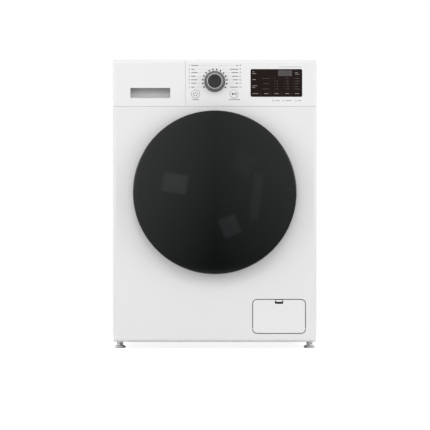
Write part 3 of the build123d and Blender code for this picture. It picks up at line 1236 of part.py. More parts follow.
def mains_gland():
    """The gland where a mains lead would enter: a flanged bush with a nut inside the panel."""
    end = DEPTH + GLAND_PROUD
    gland = rod(GLAND_X, GLAND_Z, DEPTH, end, GLAND_BORE + GLAND_FLANGE)
    gland += rod(GLAND_X, GLAND_Z, DEPTH - GLAND_REACH, DEPTH + 1, GLAND_BORE + GLAND_WALL)
    gland += rod(GLAND_X, GLAND_Z, REAR - GLAND_NUT_LENGTH, REAR, GLAND_BORE + GLAND_NUT)
    return gland - rod(GLAND_X, GLAND_Z, end - GLAND_DEPTH, end + 1, GLAND_BORE)


# Assembly

TUB = tub()
LEFT_FOOT, RIGHT_FOOT = -FOOT_X, FOOT_X
FRONT_FOOT, REAR_FOOT = FOOT_YS

PIECES = {
    "left_side_panel": mirror(side_panel(), about=Plane.YZ),
    "right_side_panel": side_panel(),
    "rear_panel": rear_panel(),
    "rear_cover": rear_cover(),
    "cabinet_screws": cabinet_screws(),
    "transit_caps": transit_caps(),
    "top_cover": top_cover(),
    "front_panel": front_panel(),
    "base_tray": base_tray(),
    "top_crossbar": top_crossbar(),
    "foot_locknuts": foot_locknuts(),
    "foot_front_left": foot(LEFT_FOOT, FRONT_FOOT),
    "foot_front_right": foot(RIGHT_FOOT, FRONT_FOOT),
    "foot_rear_left": foot(LEFT_FOOT, REAR_FOOT),
    "foot_rear_right": foot(RIGHT_FOOT, REAR_FOOT),
    "control_fascia": control_fascia(),
    "display_window": display_window(),
    "control_board": control_board(),
    "program_knob": program_knob(),
    "power_button": push_button(-BUTTON_SPREAD),
    "start_button": push_button(BUTTON_SPREAD),
    "drawer_front": drawer_front(),
    "drawer_tray": drawer_tray(),
    "drawer_housing": drawer_housing(),
    "door_cover": door_cover(),
    "door_frame": door_frame(),
    "door_glass": door_glass(),
    "hinge_bracket": hinge_bracket(),
    "hinge_pin": hinge_pin(),
    "hinge_arm": hinge_arm(),
    "latch_hook": latch_hook(),
    "door_lock": door_lock(),
    "door_gasket": door_gasket(),
    "tub_front": tub_half(True),
    "tub_rear": tub_half(False),
    "drum_bearings": drum_bearings(),
    "front_counterweight": front_counterweight(),
    "heater": heater(),
    "motor": motor(),
    "motor_pulley": motor_pulley(),
    "drive_belt": drive_belt(),
    "drum_pulley": drum_pulley(),
    "drum_spider": drum_spider(),
    "drum_shell": drum_shell(),
    "drum_lifters": drum_lifters(),
    "damper_cylinders": damper_cylinders(),
    "damper_rods": damper_rods(),
    "suspension_springs": suspension_springs(),
    "filter_flap": filter_flap(),
    "filter_bezel": filter_bezel(),
    "filter_cap": filter_cap(),
    "drain_pump": drain_pump(),
    "pump_impeller": pump_impeller(),
    "sump_hose": sump_hose(),
    "drain_hose": drain_hose(),
    "drain_outlet": drain_outlet(),
    "fill_hose": fill_hose(),
    "inlet_valve": inlet_valve(),
    "inlet_hose": inlet_hose(),
    "mains_gland": mains_gland(),
}

# The whole machine reaches from the door's crown to the end of the inlet's thread.
TO_ORIGIN = Pos(0, (DOOR_PROUD - DEPTH - REAR_PROUD) / 2, 0)

os.makedirs("parts", exist_ok=True)
for name, piece in PIECES.items():
    export_step(TO_ORIGIN * piece, f"parts/{name}.step")
OVERALL_DEPTH = DOOR_PROUD + DEPTH + REAR_PROUD
print(f"{len(PIECES)} pieces, {WIDTH:.1f} wide, {HEIGHT:.1f} high, {OVERALL_DEPTH:.1f} deep")
print(f"least gap between the turns of a spring {least_coil_gap():.2f}")
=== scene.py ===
# %% [markdown]
# # A front load washing machine
#
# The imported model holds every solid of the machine, already on the body that carries it. This lesson
# dresses that model. A solid whose shape is right keeps it and gets a finish; a piece that must be
# smoother, softer or finer than a solid is modelled here and stands for it. Everything is in metres, in
# the model's own frame, so each new piece is drawn where it belongs and its object stays at the origin.

# %% Load the model
import json
import math

import bmesh
import bpy
from mathutils import Matrix, Vector

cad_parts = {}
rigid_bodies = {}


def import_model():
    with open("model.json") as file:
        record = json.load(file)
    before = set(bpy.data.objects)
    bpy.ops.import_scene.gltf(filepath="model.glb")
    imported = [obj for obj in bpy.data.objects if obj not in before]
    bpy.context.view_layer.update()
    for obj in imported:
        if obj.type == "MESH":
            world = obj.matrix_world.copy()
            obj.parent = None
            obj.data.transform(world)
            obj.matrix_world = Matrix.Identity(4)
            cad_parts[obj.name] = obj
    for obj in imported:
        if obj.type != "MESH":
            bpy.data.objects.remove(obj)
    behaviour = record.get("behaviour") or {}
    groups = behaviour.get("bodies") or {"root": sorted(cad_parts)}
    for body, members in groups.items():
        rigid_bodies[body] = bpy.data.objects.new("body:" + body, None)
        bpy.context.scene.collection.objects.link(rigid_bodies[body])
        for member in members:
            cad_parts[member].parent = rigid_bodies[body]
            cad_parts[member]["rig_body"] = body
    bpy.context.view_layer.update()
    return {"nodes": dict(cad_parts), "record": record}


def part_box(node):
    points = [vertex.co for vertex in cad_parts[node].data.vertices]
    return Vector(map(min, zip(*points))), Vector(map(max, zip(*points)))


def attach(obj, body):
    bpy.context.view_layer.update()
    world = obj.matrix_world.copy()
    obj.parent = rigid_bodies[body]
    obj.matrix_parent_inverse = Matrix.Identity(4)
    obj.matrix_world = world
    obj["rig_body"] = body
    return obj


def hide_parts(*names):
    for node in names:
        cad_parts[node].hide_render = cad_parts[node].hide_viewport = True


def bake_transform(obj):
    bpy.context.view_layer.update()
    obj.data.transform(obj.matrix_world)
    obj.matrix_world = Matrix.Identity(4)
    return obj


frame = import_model()
NODES = frame["nodes"]
SLOT_OF = {part["node"]: part["material_slot"] for part in frame["record"]["subparts"]}

# %% [markdown]
# ## Where things are
#
# The machine's sizes are easiest to read in millimetres, measured from its front: x to the right of the
# middle, d the depth behind the cabinet's front face, and z the height above the floor. The scene's own
# metres would do as well, but every number would be a small fraction. One small function turns such a
# place into a point of the scene.

# %% Places in millimetres
MM = 0.001
BOARD_DEPTH = 9.0
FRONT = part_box("control_board")[0].y - BOARD_DEPTH * MM
AXIS_Z = 460.0


def spot(x, d, z):
    """A place in millimetres as a point of the scene."""
    return Vector((x * MM, FRONT + d * MM, z * MM))


print(f"the front face is at y = {FRONT:.4f}, the drum's axis {AXIS_Z:.0f} mm up")

# %% [markdown]
# ## The camera
#
# The photograph is square-on and shows no perspective to speak of. An orthographic camera would give that
# too, but a real lens far away keeps the slight depth of a photograph, so the camera stands well back.
# The cabinet is 598 mm wide and covers 203.6 of the 430 pixels, which gives the size of one pixel at the
# front face, and the focal length follows from that and from the distance.

# %% Camera
PHOTO_PIXELS = 430
PIXEL = 2.937
CAMERA_DISTANCE = 7000.0
FLOOR_ROW, MIDDLE_COLUMN = 349.0, 214.75
SENSOR_WIDTH, FAR_END = 36.0, 50.0


def into_scene(name, data):
    """A new object in the scene."""
    made = bpy.data.objects.new(name, data)
    bpy.context.scene.collection.objects.link(made)
    return made


def from_photo(column, row):
    """The x and z, in millimetres, of a pixel that lies on the front face."""
    return (column - MIDDLE_COLUMN) * PIXEL, (FLOOR_ROW - row) * PIXEL


camera = into_scene("camera", bpy.data.cameras.new("camera"))
camera.data.sensor_width = SENSOR_WIDTH
camera.data.lens = SENSOR_WIDTH * CAMERA_DISTANCE / (PHOTO_PIXELS * PIXEL)
camera.data.clip_end = FAR_END
camera_x, camera_z = from_photo(PHOTO_PIXELS / 2, PHOTO_PIXELS / 2)
camera.location = spot(camera_x, -CAMERA_DISTANCE, camera_z)
camera.rotation_euler = (math.pi / 2, 0, 0)
bpy.context.scene.camera = camera
bpy.context.scene.view_settings.view_transform = "Standard"
print(f"a lens of {camera.data.lens:.1f} mm")

# %% [markdown]
# ## The room
#
# The machine stands in plain white. A black glass door, though, needs something to mirror, and a white
# room all round would turn it grey. Walls and curtains could be built for it. Here the world answers each
# kind of ray with its own level instead, which stays plain and quick: the camera sees white, a mirror
# sees the same white behind the machine and a dim studio in front of it, lighter above and at the sides
# than below, and dull surfaces receive an even soft light that comes more from the front than from the
# sides.


# %% Node helpers
def add_node(tree, kind, inputs=None, **settings):
    """A node of a tree, with its settings made and its inputs set or linked."""
    node = tree.nodes.new(kind)
    for key, value in settings.items():
        setattr(node, key, value)
    for key, value in (inputs or {}).items():
        if isinstance(value, bpy.types.NodeSocket):
            tree.links.new(value, node.inputs[key])
        else:
            node.inputs[key].default_value = value
    return node


def in_range(tree, value, low, high, first=0.0, last=1.0, **settings):
    """A value moved from the range of low to high to that of first to last."""
    inputs = {"Value": value, "From Min": low, "From Max": high, "To Min": first, "To Max": last}
    return add_node(tree, "ShaderNodeMapRange", inputs, **settings).outputs["Result"]


def mixed(tree, share, first, second):
    """Two shaders of a tree, mixed."""
    return add_node(tree, "ShaderNodeMixShader", {0: share, 1: first, 2: second}).outputs["Shader"]


def seen_directly(tree):
    """One for a ray from the camera, straight or through glass, and zero for others."""
    rays = add_node(tree, "ShaderNodeLightPath").outputs
    inputs = {0: rays["Is Camera Ray"], 1: rays["Is Transmission Ray"]}
    return add_node(tree, "ShaderNodeMath", inputs, operation="MAXIMUM").outputs["Value"]


# %% World
ROOM_LOW, ROOM_MIDDLE, ROOM_HIGH = 0.06, 0.34, 0.58
ROOM_LEFT, ROOM_RIGHT, ROOM_REACH = 0.46, 0.28, 0.45
BEHIND_START, BEHIND_END = -0.25, 0.15
AMBIENT_LOW, AMBIENT_HIGH, AMBIENT_SIDE = 0.89, 0.97, 0.40
WHITE = (1, 1, 1, 1)
world = bpy.data.worlds.new("room")
world.use_nodes = True
bpy.context.scene.world = world
room = world.node_tree
room.nodes.clear()


def levels(value, reach, stops):
    """Grey levels spread over one coordinate of a direction, from minus reach to plus reach."""
    ramp = add_node(room, "ShaderNodeValToRGB", {"Fac": in_range(room, value, -reach, reach)})
    ramp.color_ramp.elements.new(0.5)
    for element, level in zip(ramp.color_ramp.elements, stops):
        element.color = (level, level, level, 1)
    return ramp.outputs["Color"]


def blended(kind, share, first, second):
    """Two colours of the world, blended."""
    inputs = {"Fac": share, "Color1": first, "Color2": second}
    return add_node(room, "ShaderNodeMixRGB", inputs, blend_type=kind).outputs["Color"]


def background(colour):
    """A light of the world that has one colour for each direction."""
    return add_node(room, "ShaderNodeBackground", {"Color": colour}).outputs["Background"]


way = add_node(room, "ShaderNodeTexCoord").outputs["Generated"]
way_x, way_y, way_z = add_node(room, "ShaderNodeSeparateXYZ", {"Vector": way}).outputs
heights = levels(way_z, ROOM_REACH, (ROOM_LOW, ROOM_MIDDLE, ROOM_HIGH))
sides = levels(way_x, ROOM_REACH, (ROOM_LEFT, 0.0, ROOM_RIGHT))
behind = in_range(room, way_y, BEHIND_START, BEHIND_END)
studio = blended("MIX", behind, blended("ADD", 1.0, heights, sides), WHITE)
from_above = levels(way_z, 1.0, (AMBIENT_LOW, (AMBIENT_LOW + AMBIENT_HIGH) / 2, AMBIENT_HIGH))
from_front = levels(way_x, 1.0, (AMBIENT_SIDE, 1.0, AMBIENT_SIDE))
soft = blended("MULTIPLY", 1.0, from_above, from_front)
in_mirror = add_node(room, "ShaderNodeLightPath").outputs["Is Glossy Ray"]
indirect = mixed(room, in_mirror, background(soft), background(studio))
light = mixed(room, seen_directly(room), indirect, background(WHITE))
add_node(room, "ShaderNodeOutputWorld", {"Surface": light})
print("white to the eye, a studio of", ROOM_LOW, "to", ROOM_HIGH, "to a mirror")

# %% [markdown]
# ## The floor
#
# The floor is a pale disc under the machine. A plane lit by the lamps alone would come out grey, and a
# plane that only glows would lose the shadow. So it shines a little by itself to the camera, and melts
# into the white room, yet a share of its brightness is light that falls on it, and there the machine's
# shadow stays. It fades out before its rim, so no view shows an edge.

# %% Floor
FLOOR_RADIUS, FLOOR_SOLID, FLOOR_FADED = 1.0, 0.42, 0.92
FLOOR_SIDES, FLOOR_DROP = 96, 0.4
FLOOR_GREY, FLOOR_GLOW = 0.78, 0.90
floor_paint = bpy.data.materials.new("floor_paint")
floor_paint.use_nodes = True
tree = floor_paint.node_tree
tree.nodes.clear()
matt = add_node(tree, "ShaderNodeBsdfDiffuse", {"Color": (FLOOR_GREY, FLOOR_GREY, FLOOR_GREY, 1)})
strength = add_node(tree, "ShaderNodeMath", {0: seen_directly(tree), 1: FLOOR_GLOW}, operation="MULTIPLY")
glow = add_node(tree, "ShaderNodeEmission", {"Strength": strength.outputs["Value"]})
lit = add_node(tree, "ShaderNodeAddShader", {0: matt.outputs["BSDF"], 1: glow.outputs["Emission"]})
place = add_node(tree, "ShaderNodeTexCoord").outputs["Object"]
away = add_node(tree, "ShaderNodeVectorMath", {0: place}, operation="LENGTH").outputs["Value"]
fade = in_range(tree, away, FLOOR_SOLID, FLOOR_FADED, interpolation_type="SMOOTHSTEP")
clear = add_node(tree, "ShaderNodeBsdfTransparent").outputs["BSDF"]
surface = mixed(tree, fade, lit.outputs["Shader"], clear)
add_node(tree, "ShaderNodeOutputMaterial", {"Surface": surface})
bm = bmesh.new()
bmesh.ops.create_circle(bm, cap_ends=True, segments=FLOOR_SIDES, radius=FLOOR_RADIUS)
bmesh.ops.translate(bm, verts=bm.verts, vec=(0, 0, -FLOOR_DROP * MM))
floor = into_scene("floor", bpy.data.meshes.new("floor"))
bm.to_mesh(floor.data)
bm.free()
floor.data.materials.append(floor_paint)
print("the floor fades from", FLOOR_SOLID, "to", FLOOR_FADED, "m")

# %% [markdown]
# ## The lamps
#
# One strong lamp would be simple, but it throws hard shadows. A wide lamp above the camera and one on
# each side model the front instead: the side ones shade the panel left and right of the door. Two more
# stand a little behind the front face, so they lift the rounded edges and leave the face alone, and one
# lights the back. Four weak cards in front are there only to be mirrored: they are the pale windows that
# the door shows.

# %% Lamps
# Each lamp has its place, what it points at, its width and height, its power, and its turn in degrees.
LAMPS = [
    ("top_key", (-0.1, -2.9, 2.9), (0.0, FRONT, 0.55), 2.4, 1.2, 19.0, 0),
    ("left_key", (-2.7, -1.8, 1.3), (0.0, FRONT, 0.5), 1.4, 1.6, 19.0, 0),
    ("right_key", (2.7, -1.8, 1.3), (0.0, FRONT, 0.5), 1.4, 1.6, 19.0, 0),
    ("left_lamp", (-2.6, 0.35, 1.0), (-0.3, 0.0, 0.5), 1.2, 1.8, 6.0, 0),
    ("right_lamp", (2.6, 0.35, 1.0), (0.3, 0.0, 0.5), 1.2, 1.8, 6.0, 0),
    ("back_lamp", (0.8, 3.0, 1.6), (0.0, 0.2, 0.5), 2.0, 1.4, 7.0, 0),
    ("left_card", (-0.80, -3.3, 0.67), (-0.12, FRONT, 0.49), 0.50, 0.38, 0.23, -9),
    ("low_card", (0.30, -3.3, -0.19), (0.05, FRONT, 0.36), 0.36, 0.40, 0.124, 22),
    ("right_card", (0.84, -3.3, 0.40), (0.12, FRONT, 0.45), 0.18, 0.96, 0.09, -7),
    ("high_card", (0.60, -3.3, 1.06), (0.09, FRONT, 0.55), 0.40, 0.44, 0.055, -30),
]
DAYLIGHT = (0.84, 0.97, 1.0)
for name, source, target, wide, high, power, turn in LAMPS:
    lamp = into_scene(name, bpy.data.lights.new(name, "AREA"))
    lamp.data.shape = "RECTANGLE"
    lamp.data.size = wide
    lamp.data.size_y = high
    lamp.data.energy = power
    if name.endswith("card"):
        lamp.data.color = DAYLIGHT
    lamp.location = source
    aim = (Vector(target) - Vector(source)).to_track_quat("-Z", "Y").to_matrix()
    lamp.rotation_euler = (aim @ Matrix.Rotation(math.radians(turn), 3, "Z")).to_euler()
    lamp.visible_camera = False
    lamp.visible_glossy = name != "top_key"
print(len(LAMPS), "lamps")

# %% [markdown]
# ## Finishes
#
# No real surface is one flat colour. Enamel has a faint orange peel, moulded plastic a spark-eroded
# grain, rolled steel a brushed streak and rubber a dusty bloom. Each could have a node tree of its own.
# One function builds them all here, from three noise patterns: a wide one that shifts the colour, a
# middle one that shifts the gloss, and a fine one that raises the surface. Each pattern is given by its
# scale and its strength. They read Object coordinates, so the pattern has its true size on every piece.
# Values that are the same all over a surface are set on the shader itself.

# %% A finish from three noises
NOISE_LOW, NOISE_HIGH = 0.3, 0.7
COLOUR_DETAIL, GLOSS_DETAIL, GRAIN_DETAIL = 4, 3, 2
EVEN, BRUSHED = (1, 1, 1), (1, 0.1, 1)


def finish(
    name, colour, rough, metal=0.0, mottle=(14, 0.02), gloss=(50, 0.04), grain=(900, 0.01), stretch=EVEN
):
    """A finish whose colour, gloss and fine relief each vary a little over the surface."""
    material = bpy.data.materials.new(name)
    material.use_nodes = True
    tree = material.node_tree
    where = add_node(tree, "ShaderNodeTexCoord").outputs["Object"]
    drawn = add_node(tree, "ShaderNodeMapping", {"Vector": where, "Scale": stretch}).outputs["Vector"]

    def pattern(scale, detail):
        inputs = {"Vector": drawn, "Scale": scale, "Detail": detail}
        return add_node(tree, "ShaderNodeTexNoise", inputs).outputs["Fac"]

    tint = add_node(tree, "ShaderNodeValToRGB", {"Fac": pattern(mottle[0], COLOUR_DETAIL)})
    for element, position, sign in zip(tint.color_ramp.elements, (NOISE_LOW, NOISE_HIGH), (-1, 1)):
        element.position = position
        element.color = (*[min(1.0, c * (1 + sign * mottle[1])) for c in colour], 1)
    shine = pattern(gloss[0], GLOSS_DETAIL)
    dull = in_range(tree, shine, NOISE_LOW, NOISE_HIGH, rough - gloss[1], rough + gloss[1])
    height = pattern(grain[0], GRAIN_DETAIL)
    relief = add_node(tree, "ShaderNodeBump", {"Height": height, "Distance": grain[1] * MM})
    shader = tree.nodes["Principled BSDF"].inputs
    shader["Metallic"].default_value = metal
    tree.links.new(tint.outputs["Color"], shader["Base Color"])
    tree.links.new(dull, shader["Roughness"])
    tree.links.new(relief.outputs["Normal"], shader["Normal"])
    return material


# %% The machine's finishes
FINISHES = {
    "white_paint": finish(
        "white_enamel", (0.86, 0.86, 0.86), 0.32, mottle=(5, 0.006), gloss=(9, 0.02), grain=(300, 0.0015)
    ),
    "zinc_sheet": finish(
        "coated_sheet", (0.78, 0.79, 0.79), 0.40, mottle=(9, 0.012), gloss=(12, 0.03), grain=(300, 0.002)
    ),
    "worktop": finish(
        "white_laminate", (0.86, 0.86, 0.86), 0.42, mottle=(18, 0.008), gloss=(20, 0.03), grain=(600, 0.002)
    ),
    "white_plastic": finish(
        "white_moulding", (0.88, 0.88, 0.88), 0.36, mottle=(7, 0.005), gloss=(14, 0.02), grain=(700, 0.001)
    ),
    "tray_plastic": finish(
        "tray_moulding", (0.74, 0.75, 0.76), 0.42, mottle=(12, 0.02), grain=(1800, 0.008)
    ),
    "display_glass": finish(
        "black_window",
        (0.0128, 0.0060, 0.0049),
        0.07,
        mottle=(20, 0.08),
        gloss=(30, 0.015),
        grain=(160, 0.0006),
    ),
    "circuit_board": finish(
        "solder_mask", (0.02, 0.13, 0.05), 0.40, mottle=(90, 0.25), grain=(700, 0.02)
    ),
    "dial_grey": finish(
        "dial_satin", (0.085, 0.086, 0.089), 0.34, mottle=(40, 0.04), grain=(2600, 0.006)
    ),
    "smoked_cover": finish(
        "smoked_window",
        (0.0018, 0.0027, 0.0029),
        0.05,
        mottle=(6, 0.05),
        gloss=(8, 0.01),
        grain=(60, 0.0004),
    ),
    "door_frame_grey": finish(
        "frame_moulding", (0.045, 0.047, 0.05), 0.45, mottle=(20, 0.04), grain=(1800, 0.012)
    ),
    "clear_glass": finish(
        "pressed_glass", (0.86, 0.90, 0.90), 0.03, mottle=(10, 0.01), gloss=(20, 0.01), grain=(45, 0.004)
    ),
    "grey_rubber": finish(
        "grey_rubber", (0.20, 0.21, 0.22), 0.62, mottle=(60, 0.08), gloss=(90, 0.08), grain=(1300, 0.02)
    ),
    "black_rubber": finish(
        "black_rubber", (0.022, 0.022, 0.023), 0.60, mottle=(70, 0.15), gloss=(90, 0.10), grain=(1200, 0.02)
    ),
    "zinc_steel": finish(
        "zinc_plate", (0.62, 0.62, 0.60), 0.33, 1.0, mottle=(60, 0.08), gloss=(80, 0.07), grain=(600, 0.006)
    ),
    "hinge_metal": finish(
        "hinge_casting", (0.55, 0.55, 0.55), 0.42, 1.0, mottle=(80, 0.06), grain=(500, 0.02)
    ),
    "hook_steel": finish(
        "hook_plate", (0.66, 0.66, 0.66), 0.28, 1.0, mottle=(60, 0.06), grain=(700, 0.006)
    ),
    "dark_plastic": finish(
        "dark_moulding", (0.048, 0.048, 0.050), 0.48, mottle=(30, 0.06), grain=(1600, 0.015)
    ),
    "pump_plastic": finish(
        "pump_moulding", (0.56, 0.57, 0.58), 0.45, mottle=(25, 0.03), grain=(1500, 0.012)
    ),
    "tub_plastic": finish(
        "tub_moulding", (0.33, 0.35, 0.37), 0.52, mottle=(16, 0.05), grain=(700, 0.03)
    ),
    "concrete": finish(
        "cast_concrete", (0.42, 0.41, 0.39), 0.88, mottle=(45, 0.22), gloss=(60, 0.05), grain=(260, 0.35)
    ),
    "heater_steel": finish(
        "heater_tube", (0.45, 0.44, 0.42), 0.36, 1.0, mottle=(90, 0.12), grain=(400, 0.01), stretch=BRUSHED
    ),
    "motor_metal": finish(
        "motor_casting", (0.46, 0.46, 0.46), 0.45, 1.0, mottle=(50, 0.08), grain=(420, 0.03)
    ),
    "cast_aluminium": finish(
        "bare_casting", (0.64, 0.64, 0.65), 0.40, 1.0, mottle=(45, 0.07), grain=(380, 0.03)
    ),
    "drum_steel": finish(
        "drum_sheet",
        (0.62, 0.63, 0.64),
        0.27,
        1.0,
        mottle=(120, 0.015),
        gloss=(120, 0.025),
        grain=(300, 0.001),
        stretch=BRUSHED,
    ),
    "lifter_plastic": finish(
        "lifter_moulding", (0.60, 0.61, 0.62), 0.40, mottle=(20, 0.03), grain=(1500, 0.010)
    ),
}


def set_shader(slot, **values):
    """Sets plain values on the shader of a finish."""
    inputs = FINISHES[slot].node_tree.nodes["Principled BSDF"].inputs
    for key, value in values.items():
        inputs[key.replace("_", " ")].default_value = value


set_shader("smoked_cover", Alpha=0.92, IOR=1.49)
set_shader("clear_glass", Transmission_Weight=1.0, IOR=1.5)
set_shader("display_glass", Specular_IOR_Level=0.25)
for node, solid in NODES.items():
    solid.material_slots[0].material = FINISHES[SLOT_OF[node]]
print(len(FINISHES), "finishes on", len(NODES), "solids")

# %% [markdown]
# ## Tools for new pieces
#
# A new piece is a bmesh that becomes a named object, rides on one of the machine's bodies and takes its
# finish from one of the record's slots. Faces are shaded smooth, and only edges that turn by more than a
# given angle stay sharp. A round piece could be cut from a cylinder. Here it is drawn as an outline and
# spun, because the outline shows its sizes at a glance, and its corners are rounded first by bevelling
# its points.

# %% Mesh helpers
MERGE_DISTANCE, LEAST_EDGE = 2e-6, 1e-6
SHARP_ANGLE = 35.0
DRUM_AXIS = spot(0, 0, AXIS_Z)
ALONG_Y, ALONG_Z = (0, 1, 0), (0, 0, 1)


def tidy(bm):
    """Merges doubled points, drops collapsed faces and turns the faces outwards."""
    bmesh.ops.remove_doubles(bm, verts=bm.verts, dist=MERGE_DISTANCE)
    bmesh.ops.dissolve_degenerate(bm, dist=LEAST_EDGE, edges=bm.edges)
    bmesh.ops.recalc_face_normals(bm, faces=bm.faces)
    return bm


def rounded(bm, geom, offset, segments, affect="EDGES"):
    """Rounds some points or edges of a bmesh, by an offset in the scene's own units."""
    bmesh.ops.bevel(
        bm,
        geom=geom,
        offset=offset,
        offset_type="OFFSET",
        affect=affect,
        segments=segments,
        profile=0.5,
        material=-1,
        clamp_overlap=True,
    )


def wire(points, closed=False, rounds=0.0):
    """A line through points, with its inner corners rounded."""
    bm = bmesh.new()
    verts = [bm.verts.new(point) for point in points]
    ends = verts[1:] + verts[:1] if closed else verts[1:]
    for a, b in zip(verts, ends):
        bm.edges.new((a, b))
    if rounds:
        rounded(bm, verts if closed else verts[1:-1], rounds * MM, segments=4, affect="VERTICES")
    return bm


def spun(bm, centre=DRUM_AXIS, axis=ALONG_Y, steps=96, arc=360.0):
    """Spins a line about an axis."""
    geom = [*bm.verts, *bm.edges]
    angle, whole = math.radians(arc), arc == 360.0
    bmesh.ops.spin(bm, geom=geom, cent=centre, axis=axis, angle=angle, steps=steps, use_merge=whole)
    return tidy(bm)


def lathe(points, x=0.0, z=AXIS_Z, closed=False, rounds=0.0, steps=96):
    """A round piece about an axis along Y, from points of radius and depth."""
    return spun(wire([spot(x + r, d, z) for r, d in points], closed, rounds), spot(x, 0, z), steps=steps)


def thicken(bm, wall):
    """Gives a sheet a wall on its inner side."""
    bmesh.ops.solidify(bm, geom=list(bm.faces), thickness=wall * MM)
    return bm


def turn_points(bm, verts, degrees, axis, centre=(0, 0, 0)):
    """Turns some points about one of the scene's axes."""
    bmesh.ops.rotate(bm, verts=verts, cent=centre, matrix=Matrix.Rotation(math.radians(degrees), 3, axis))


def joined(*meshes):
    """Several bmeshes as one."""
    whole = meshes[0]
    for other in meshes[1:]:
        passing = bpy.data.meshes.new("passing")
        other.to_mesh(passing)
        other.free()
        whole.from_mesh(passing)
        bpy.data.meshes.remove(passing)
    return whole


# %% Piece maker
def piece(name, bm, body, slot, stands_for=(), material=None, sharp=SHARP_ANGLE):
    """A bmesh as a named piece that rides on a body when one is given."""
    mesh = bpy.data.meshes.new(name)
    bm.to_mesh(mesh)
    bm.free()
    mesh.materials.append(material or FINISHES[slot])
    mesh.shade_smooth()
    mesh.set_sharp_from_angle(angle=math.radians(sharp))
    made = into_scene(name, mesh)
    if body:
        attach(made, body)
    if stands_for:
        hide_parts(*stands_for)
    print(f"{name}: {len(mesh.polygons)} faces")
    return made


print("ready to make pieces")

# %% [markdown]
# ## The white front and the outer mouldings
#
# The enamelled front, the mouldings of the control panel, the flap and the worktop are right in shape,
# but a solid reaches Blender as loose flat triangles with knife edges. They could be drawn again, but a
# copy is truer: it is merged, its flat triangles are joined, and its sharp edges get a small bevel, as
# paint and moulding give them. The same is done to the small outer pieces, so that their round faces are
# smooth from nearby.

# %% Eased copies of solids
FLAT_ANGLE = 0.5


def eased_copy(node, bevel):
    """A copy of a solid's mesh with merged points, whole flats and eased edges."""
    bm = bmesh.new()
    bm.from_mesh(NODES[node].data)
    bmesh.ops.remove_doubles(bm, verts=bm.verts, dist=MERGE_DISTANCE)
    bmesh.ops.dissolve_limit(bm, angle_limit=math.radians(FLAT_ANGLE), verts=bm.verts, edges=bm.edges)
    sharp = math.radians(SHARP_ANGLE)
    if bevel:
        edges = [e for e in bm.edges if e.is_manifold and e.calc_face_angle() > sharp]
        rounded(bm, edges, bevel * MM, segments=2)
    return bm


def even_shading(made):
    """Lets large faces lead the shading, so that flats next to eased edges look flat."""
    made.modifiers.new("even_shading", "WEIGHTED_NORMAL").keep_sharp = True


EASED = {
    "front_panel": 0.12,
    "control_fascia": 0.15,
    "filter_flap": 0.3,
    "top_cover": 0.4,
    "left_side_panel": 0.2,
    "right_side_panel": 0.2,
    "power_button": 0.0,
    "start_button": 0.0,
    "display_window": 0.0,
    "foot_front_left": 0.0,
    "foot_front_right": 0.0,
    "foot_rear_left": 0.0,
    "foot_rear_right": 0.0,
    "foot_locknuts": 0.2,
    "door_frame": 0.4,
    "filter_bezel": 0.4,
    "filter_cap": 0.4,
    "drawer_tray": 0.3,
    "drawer_housing": 0.3,
    "hinge_arm": 0.4,
    "hinge_bracket": 0.4,
    "latch_hook": 0.3,
    "rear_cover": 0.0,
    "rear_panel": 0.0,
    "transit_caps": 0.0,
    "mains_gland": 0.3,
    "inlet_valve": 0.3,
    "drain_outlet": 0.3,
    "drum_lifters": 0.5,
}
# The feet's colour is far paler than their own grey: painted light that lifts them out of the shade under
# the cabinet.
foot_satin_painted_light = finish("foot_satin_painted_light", (0.92, 0.92, 0.92), 0.32, 0.15, mottle=(90, 0.05), grain=(700, 0.004))
for node, bevel in EASED.items():
    body = NODES[node]["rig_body"]
    paint = foot_satin_painted_light if node.startswith("foot_") else None
    even_shading(piece(f"{node}_skin", eased_copy(node, bevel), body, SLOT_OF[node], [node], paint))

# %% [markdown]
# ## The drawer's handle
#
# The scoop in the drawer's front is lined with a grey insert, darker than the white around it. Its grey is
# partly its own colour and partly painted shade, and a painted shade grows darker towards its upper edge.
# It could be painted on, but then its border would be a line of pixels. Here the drawer front's copy is
# made twice: once whole, and once with only the faces inside the scoop, turned round and given a thin wall,
# so that they line the scoop.

# %% Drawer front and scoop
SCOOP_LOW, SCOOP_HIGH = spot(-248.3, 0.5, 735.5), spot(-130.3, 20.5, 773.3)
FACE_BEVEL, LINER_BEVEL, LINER_WALL = 0.15, 0.3, 0.25
# The last number is the share of colour that the painted shade leaves at the scoop's top.
SCOOP_PAINTED_SHADE = 0.58
scoop_grey_and_painted_shade = finish("scoop_satin_painted_shade", (0.66, 0.66, 0.665), 0.40, mottle=(20, 0.02), grain=(900, 0.002))


def paint_shade_upwards(material, low, high, share):
    """Paints shade into a finish: multiplies its colour by a painted shade that grows from one height to
    another.
    """
    tree = material.node_tree
    colour = tree.nodes["Principled BSDF"].inputs["Base Color"]
    where = add_node(tree, "ShaderNodeTexCoord").outputs["Object"]
    height = add_node(tree, "ShaderNodeSeparateXYZ", {"Vector": where}).outputs["Z"]
    shade = in_range(tree, height, low, high, 1.0, share)
    inputs = {"Fac": 1.0, "Color1": colour.links[0].from_socket, "Color2": shade}
    product = add_node(tree, "ShaderNodeMixRGB", inputs, blend_type="MULTIPLY")
    tree.links.new(product.outputs["Color"], colour)


def in_scoop(face):
    """Whether a face of the drawer's front lies inside the handle."""
    centre = face.calc_center_median()
    return all(low < c < high for low, c, high in zip(SCOOP_LOW, centre, SCOOP_HIGH))


# Painted shade: the scoop's colour darkens towards its upper edge, in place of the shade under the lip.
paint_shade_upwards(scoop_grey_and_painted_shade, SCOOP_LOW.z, SCOOP_HIGH.z, SCOOP_PAINTED_SHADE)
front = eased_copy("drawer_front", FACE_BEVEL)
even_shading(piece("drawer_face", front, "drawer", "white_plastic", ["drawer_front"]))
